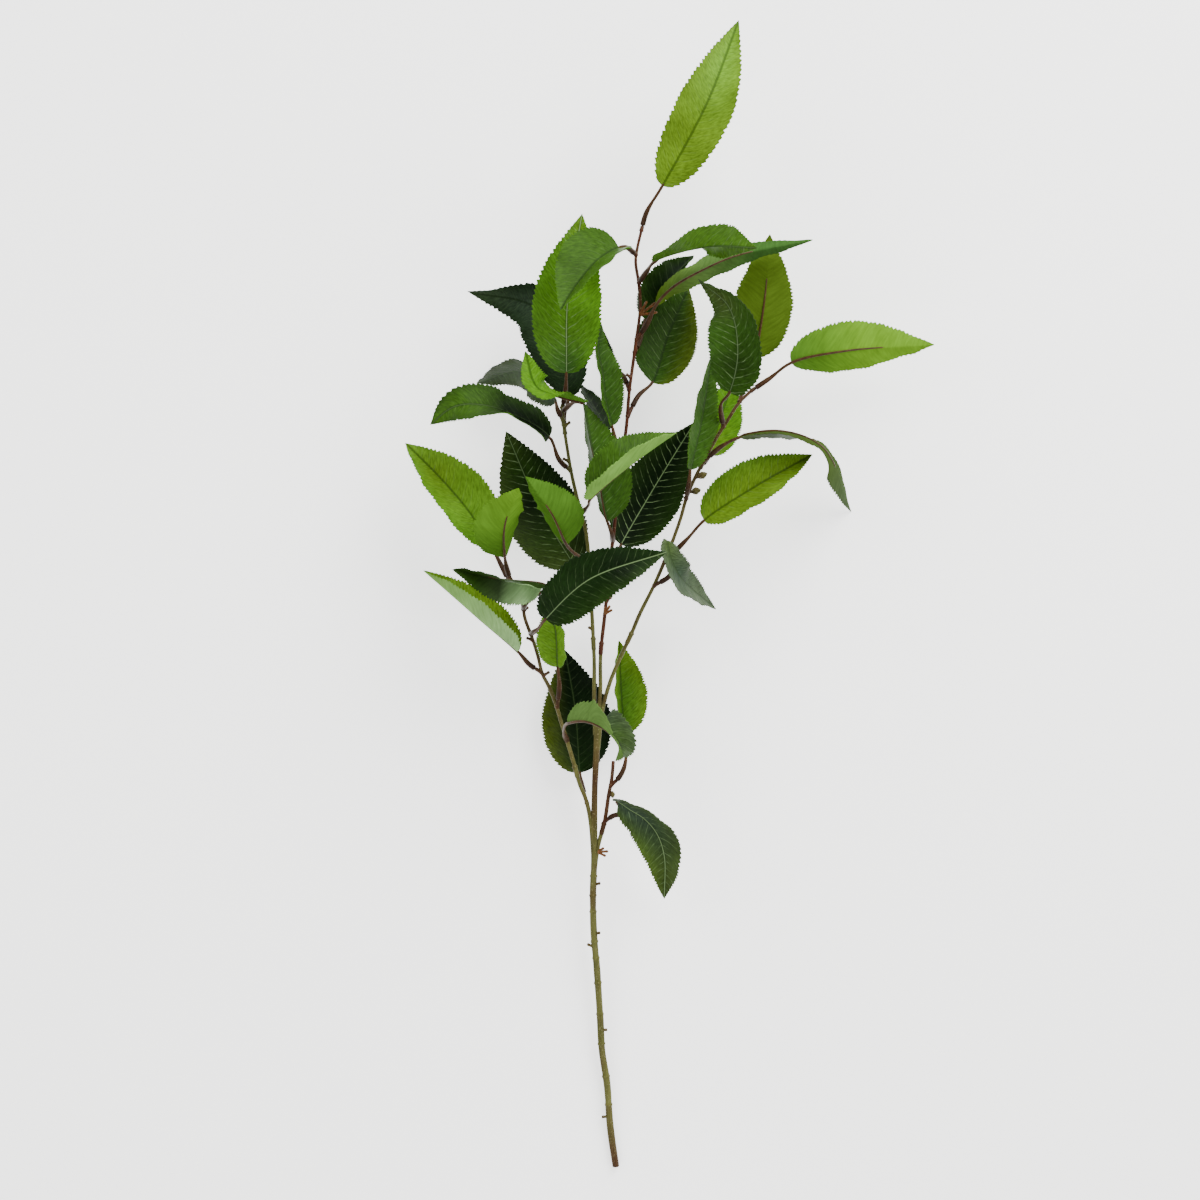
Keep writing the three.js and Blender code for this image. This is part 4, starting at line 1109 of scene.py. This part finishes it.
def cloth_upper():
    material, tree, shader = new_material("printed_polyester_upper")
    tone, veins, across, in_space, drift, wrinkle = pressed_cloth(tree, "upper", 22, 1.12, 2.9)
    under = node(tree, "Attribute", attribute_name="under")

    # pale side veins, which sway, fade away from the rib and break up
    mottle = node(tree, "TexNoise", {"Vector": in_space, "Scale": per_metre(3.8), "Detail": 1.0})
    sway = node(tree, "TexNoise", {"Vector": in_space, "Scale": per_metre(6.7), "Detail": 1.0})
    wobble = node(tree, "Math", (sway, STRIPE_SWAY), operation="MULTIPLY")
    phase = node(tree, "Math", (veins, wobble), operation="ADD")
    turn = node(tree, "Math", (phase,), operation="FRACT")
    off = node(tree, "Math", (turn, STRIPE_PLACE), operation="SUBTRACT")
    gap = node(tree, "Math", (off,), operation="ABSOLUTE")
    strength = node(tree, "MapRange", (gap, *STRIPE_EDGE, 1.0, 0.0),
                    interpolation_type="SMOOTHSTEP")
    reach = node(tree, "Math", (across,), operation="ABSOLUTE")
    fade = node(tree, "MapRange", (reach, *STRIPE_FADE, 1.0, 0.1))
    breaks = node(tree, "MapRange", (mottle, *STRIPE_BREAKS, 0.1, 1.0))
    for factor in (fade, breaks, tone.outputs["Alpha"]):
        strength = node(tree, "Math", (strength, factor), operation="MULTIPLY")

    # painted shade in the crease along the rib, and within it the pale midrib of some leaves
    painted_crease_shade = node(tree, "MapRange", (reach, *CREASE_SHADE_EDGE, 0.6, 0.0),
                  interpolation_type="SMOOTHSTEP")
    rib = node(tree, "MapRange", (reach, *MIDRIB_EDGE, 1.0, 0.0),
               interpolation_type="SMOOTHSTEP")
    pale = node(tree, "Math", (rib, under.outputs["Alpha"]), operation="MULTIPLY")
    colour = shaded(tree, tone, drift, wrinkle, (0.78, 1.2), (0.7, 1.3))
    colour = inked(tree, colour, ((strength, VEIN_GREEN), (painted_crease_shade, CREASE_SHADE_GREEN),
                                  (pale, VEIN_GREEN)))

    rough = node(tree, "MapRange", (wrinkle, *NOISE_RANGE, 0.3, 0.5))
    height = node(tree, "Math", (wrinkle, strength), operation="ADD")
    bump = node(tree, "Bump", {"Height": height, "Strength": 0.55, "Distance": 0.4 * MM})
    wire(tree, shader, {"Base Color": colour, "Roughness": rough, "Specular IOR Level": 0.025,
                        "Normal": bump})
    return material


# %% [markdown]
# ### Bare back of the cloth
#
# The print only soaks through to the back of the polyester cloth. It is duller than the front,
# often paler and greyer, and has no printed veins. A low ribbing, 1.9 mm apart and 8 mm long,
# shows where the plates pressed it. It has no gloss at all.

# %% Cloth back
def cloth_under():
    material, tree, shader = new_material("polyester_cloth_back")
    tone, *_, drift, wrinkle = pressed_cloth(tree, "under", 20, 1.9, 8.3)
    colour = shaded(tree, tone, drift, wrinkle, (0.85, 1.12), (0.85, 1.15))
    bump = node(tree, "Bump", {"Height": wrinkle, "Strength": 0.4, "Distance": 0.3 * MM})
    wire(tree, shader, {"Base Color": colour, "Roughness": 0.72, "Specular IOR Level": 0.0,
                        "Normal": bump})
    return material


# %% [markdown]
# ### Moulded plastic
#
# Stems and spines are polyethylene, dipped or injection-moulded, coloured in the mass, with a
# brown wash in patches of about 18 mm. The eye sees a dull shine, streaks 2.4 mm wide and 17 mm
# long that run along the branch, and small pale specks of about 1 mm.

# %% Plastic
STREAK_SCALE = (per_metre(2.4), per_metre(17), per_metre(2.4))
WASH_BROWN = linear(0x3F2A19)
PALE_SPECK_OLIVE = linear(0x8A8460)


def plastic(name, streak, speck):
    material, tree, shader = new_material(name)
    tone = node(tree, "Attribute", attribute_name="tone")
    in_space = node(tree, "TexCoord").outputs["Object"]
    stretched = node(tree, "Mapping", {"Vector": in_space, "Scale": STREAK_SCALE})
    streaks = node(tree, "TexNoise", {"Vector": stretched, "Scale": 1.0, "Detail": 3.0})
    patch = node(tree, "TexNoise", {"Vector": in_space, "Scale": per_metre(18), "Detail": 2.0})
    grain = node(tree, "TexNoise", {"Vector": in_space, "Scale": per_metre(1.1), "Detail": 1.0})
    light = node(tree, "MapRange", (streaks, *NOISE_RANGE, 0.7, 1.35))
    wash = node(tree, "MapRange", (patch, 0.5, 0.68, 0.0, streak))
    # small pale specks of about 1 mm
    pale_specks = node(tree, "MapRange", (grain, 0.62, 0.7, 0.0, speck))
    colour = node(tree, "VectorMath", {0: tone, "Scale": light}, operation="SCALE")
    worn = inked(tree, colour, ((wash, WASH_BROWN), (pale_specks, PALE_SPECK_OLIVE)))
    bump = node(tree, "Bump", {"Height": streaks, "Strength": 0.5, "Distance": 0.3 * MM})
    wire(tree, shader, {"Base Color": worn, "Roughness": 0.34, "Specular IOR Level": 0.07,
                        "Normal": bump})
    return material


# %% [markdown]
# ### The finishes go on
#
# A blade has two slots, the first for its print and the second for its back and its cut edge.
# Everything rides the one body, since nothing on a branch moves by itself.

# %% Put the finishes on
upper, back = cloth_upper(), cloth_under()
stem_plastic = plastic("dipped_polyethylene_stem", 0.55, 0.35)
spine_plastic = plastic("moulded_polyethylene_spine", 0.3, 0.12)
for kind, piece in pieces:
    if kind == "blade":
        piece.data.materials[0], piece.data.materials[1] = upper, back
    else:
        piece.data.materials.append(spine_plastic if kind == "spine" else stem_plastic)
    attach(piece, "root")
print("materials", [m.name for m in bpy.data.materials])

# %% [markdown]
# ## Floor and light
#
# The branch lies on a matt white card. Four round soft boxes stand low around it, so that no leaf
# mirrors a light straight up into the camera, and the one on the far side is the strongest. The
# card itself glows, like a light table, which keeps it pale under the branch without one more lamp
# on the leaves.

# %% Stage
WHITE = (1, 1, 1, 1)
CARD_SIZE = 16
CARD_DROP = 0.2 * MM
CARD_GLOW = 1.3
TENT_GLOW = 0.3
BOX_SIZE = 1.6
BOX_DISTANCE = 1.5
BOX_HEIGHT = 1.15
BOX_TILT = 52.5
SOFT_BOXES = (("key", 60, 72), ("left", 150, 22), ("low", 240, 22), ("right", 330, 22))

bpy.ops.mesh.primitive_plane_add(size=CARD_SIZE, location=(0, 0, -CARD_DROP))
floor = bpy.context.object
floor.name = "floor"
material, tree, shader = new_material("matt_white_card")
wire(tree, shader, {"Base Color": linear(0xF5F5F3), "Roughness": 0.9, "Specular IOR Level": 0.2,
                    "Emission Color": WHITE, "Emission Strength": CARD_GLOW})
floor.data.materials.append(material)

world = bpy.data.worlds.new("tent")
bpy.context.scene.world = world
world.use_nodes = True
wire(world.node_tree, world.node_tree.nodes["Background"], (WHITE, TENT_GLOW))

for name, azimuth, power in SOFT_BOXES:
    turn = math.radians(azimuth)
    bpy.ops.object.light_add(
        type="AREA", rotation=(math.radians(BOX_TILT), 0, math.radians(azimuth + 90)),
        location=(BOX_DISTANCE * math.cos(turn), BOX_DISTANCE * math.sin(turn), BOX_HEIGHT))
    light = bpy.context.object
    light.name = name
    light.data.shape = "DISK"
    light.data.size = BOX_SIZE
    light.data.energy = power
print("lights", [row[0] for row in SOFT_BOXES])

# %% [markdown]
# ## Finish

# %% Finish
bpy.ops.object.select_all(action="DESELECT")
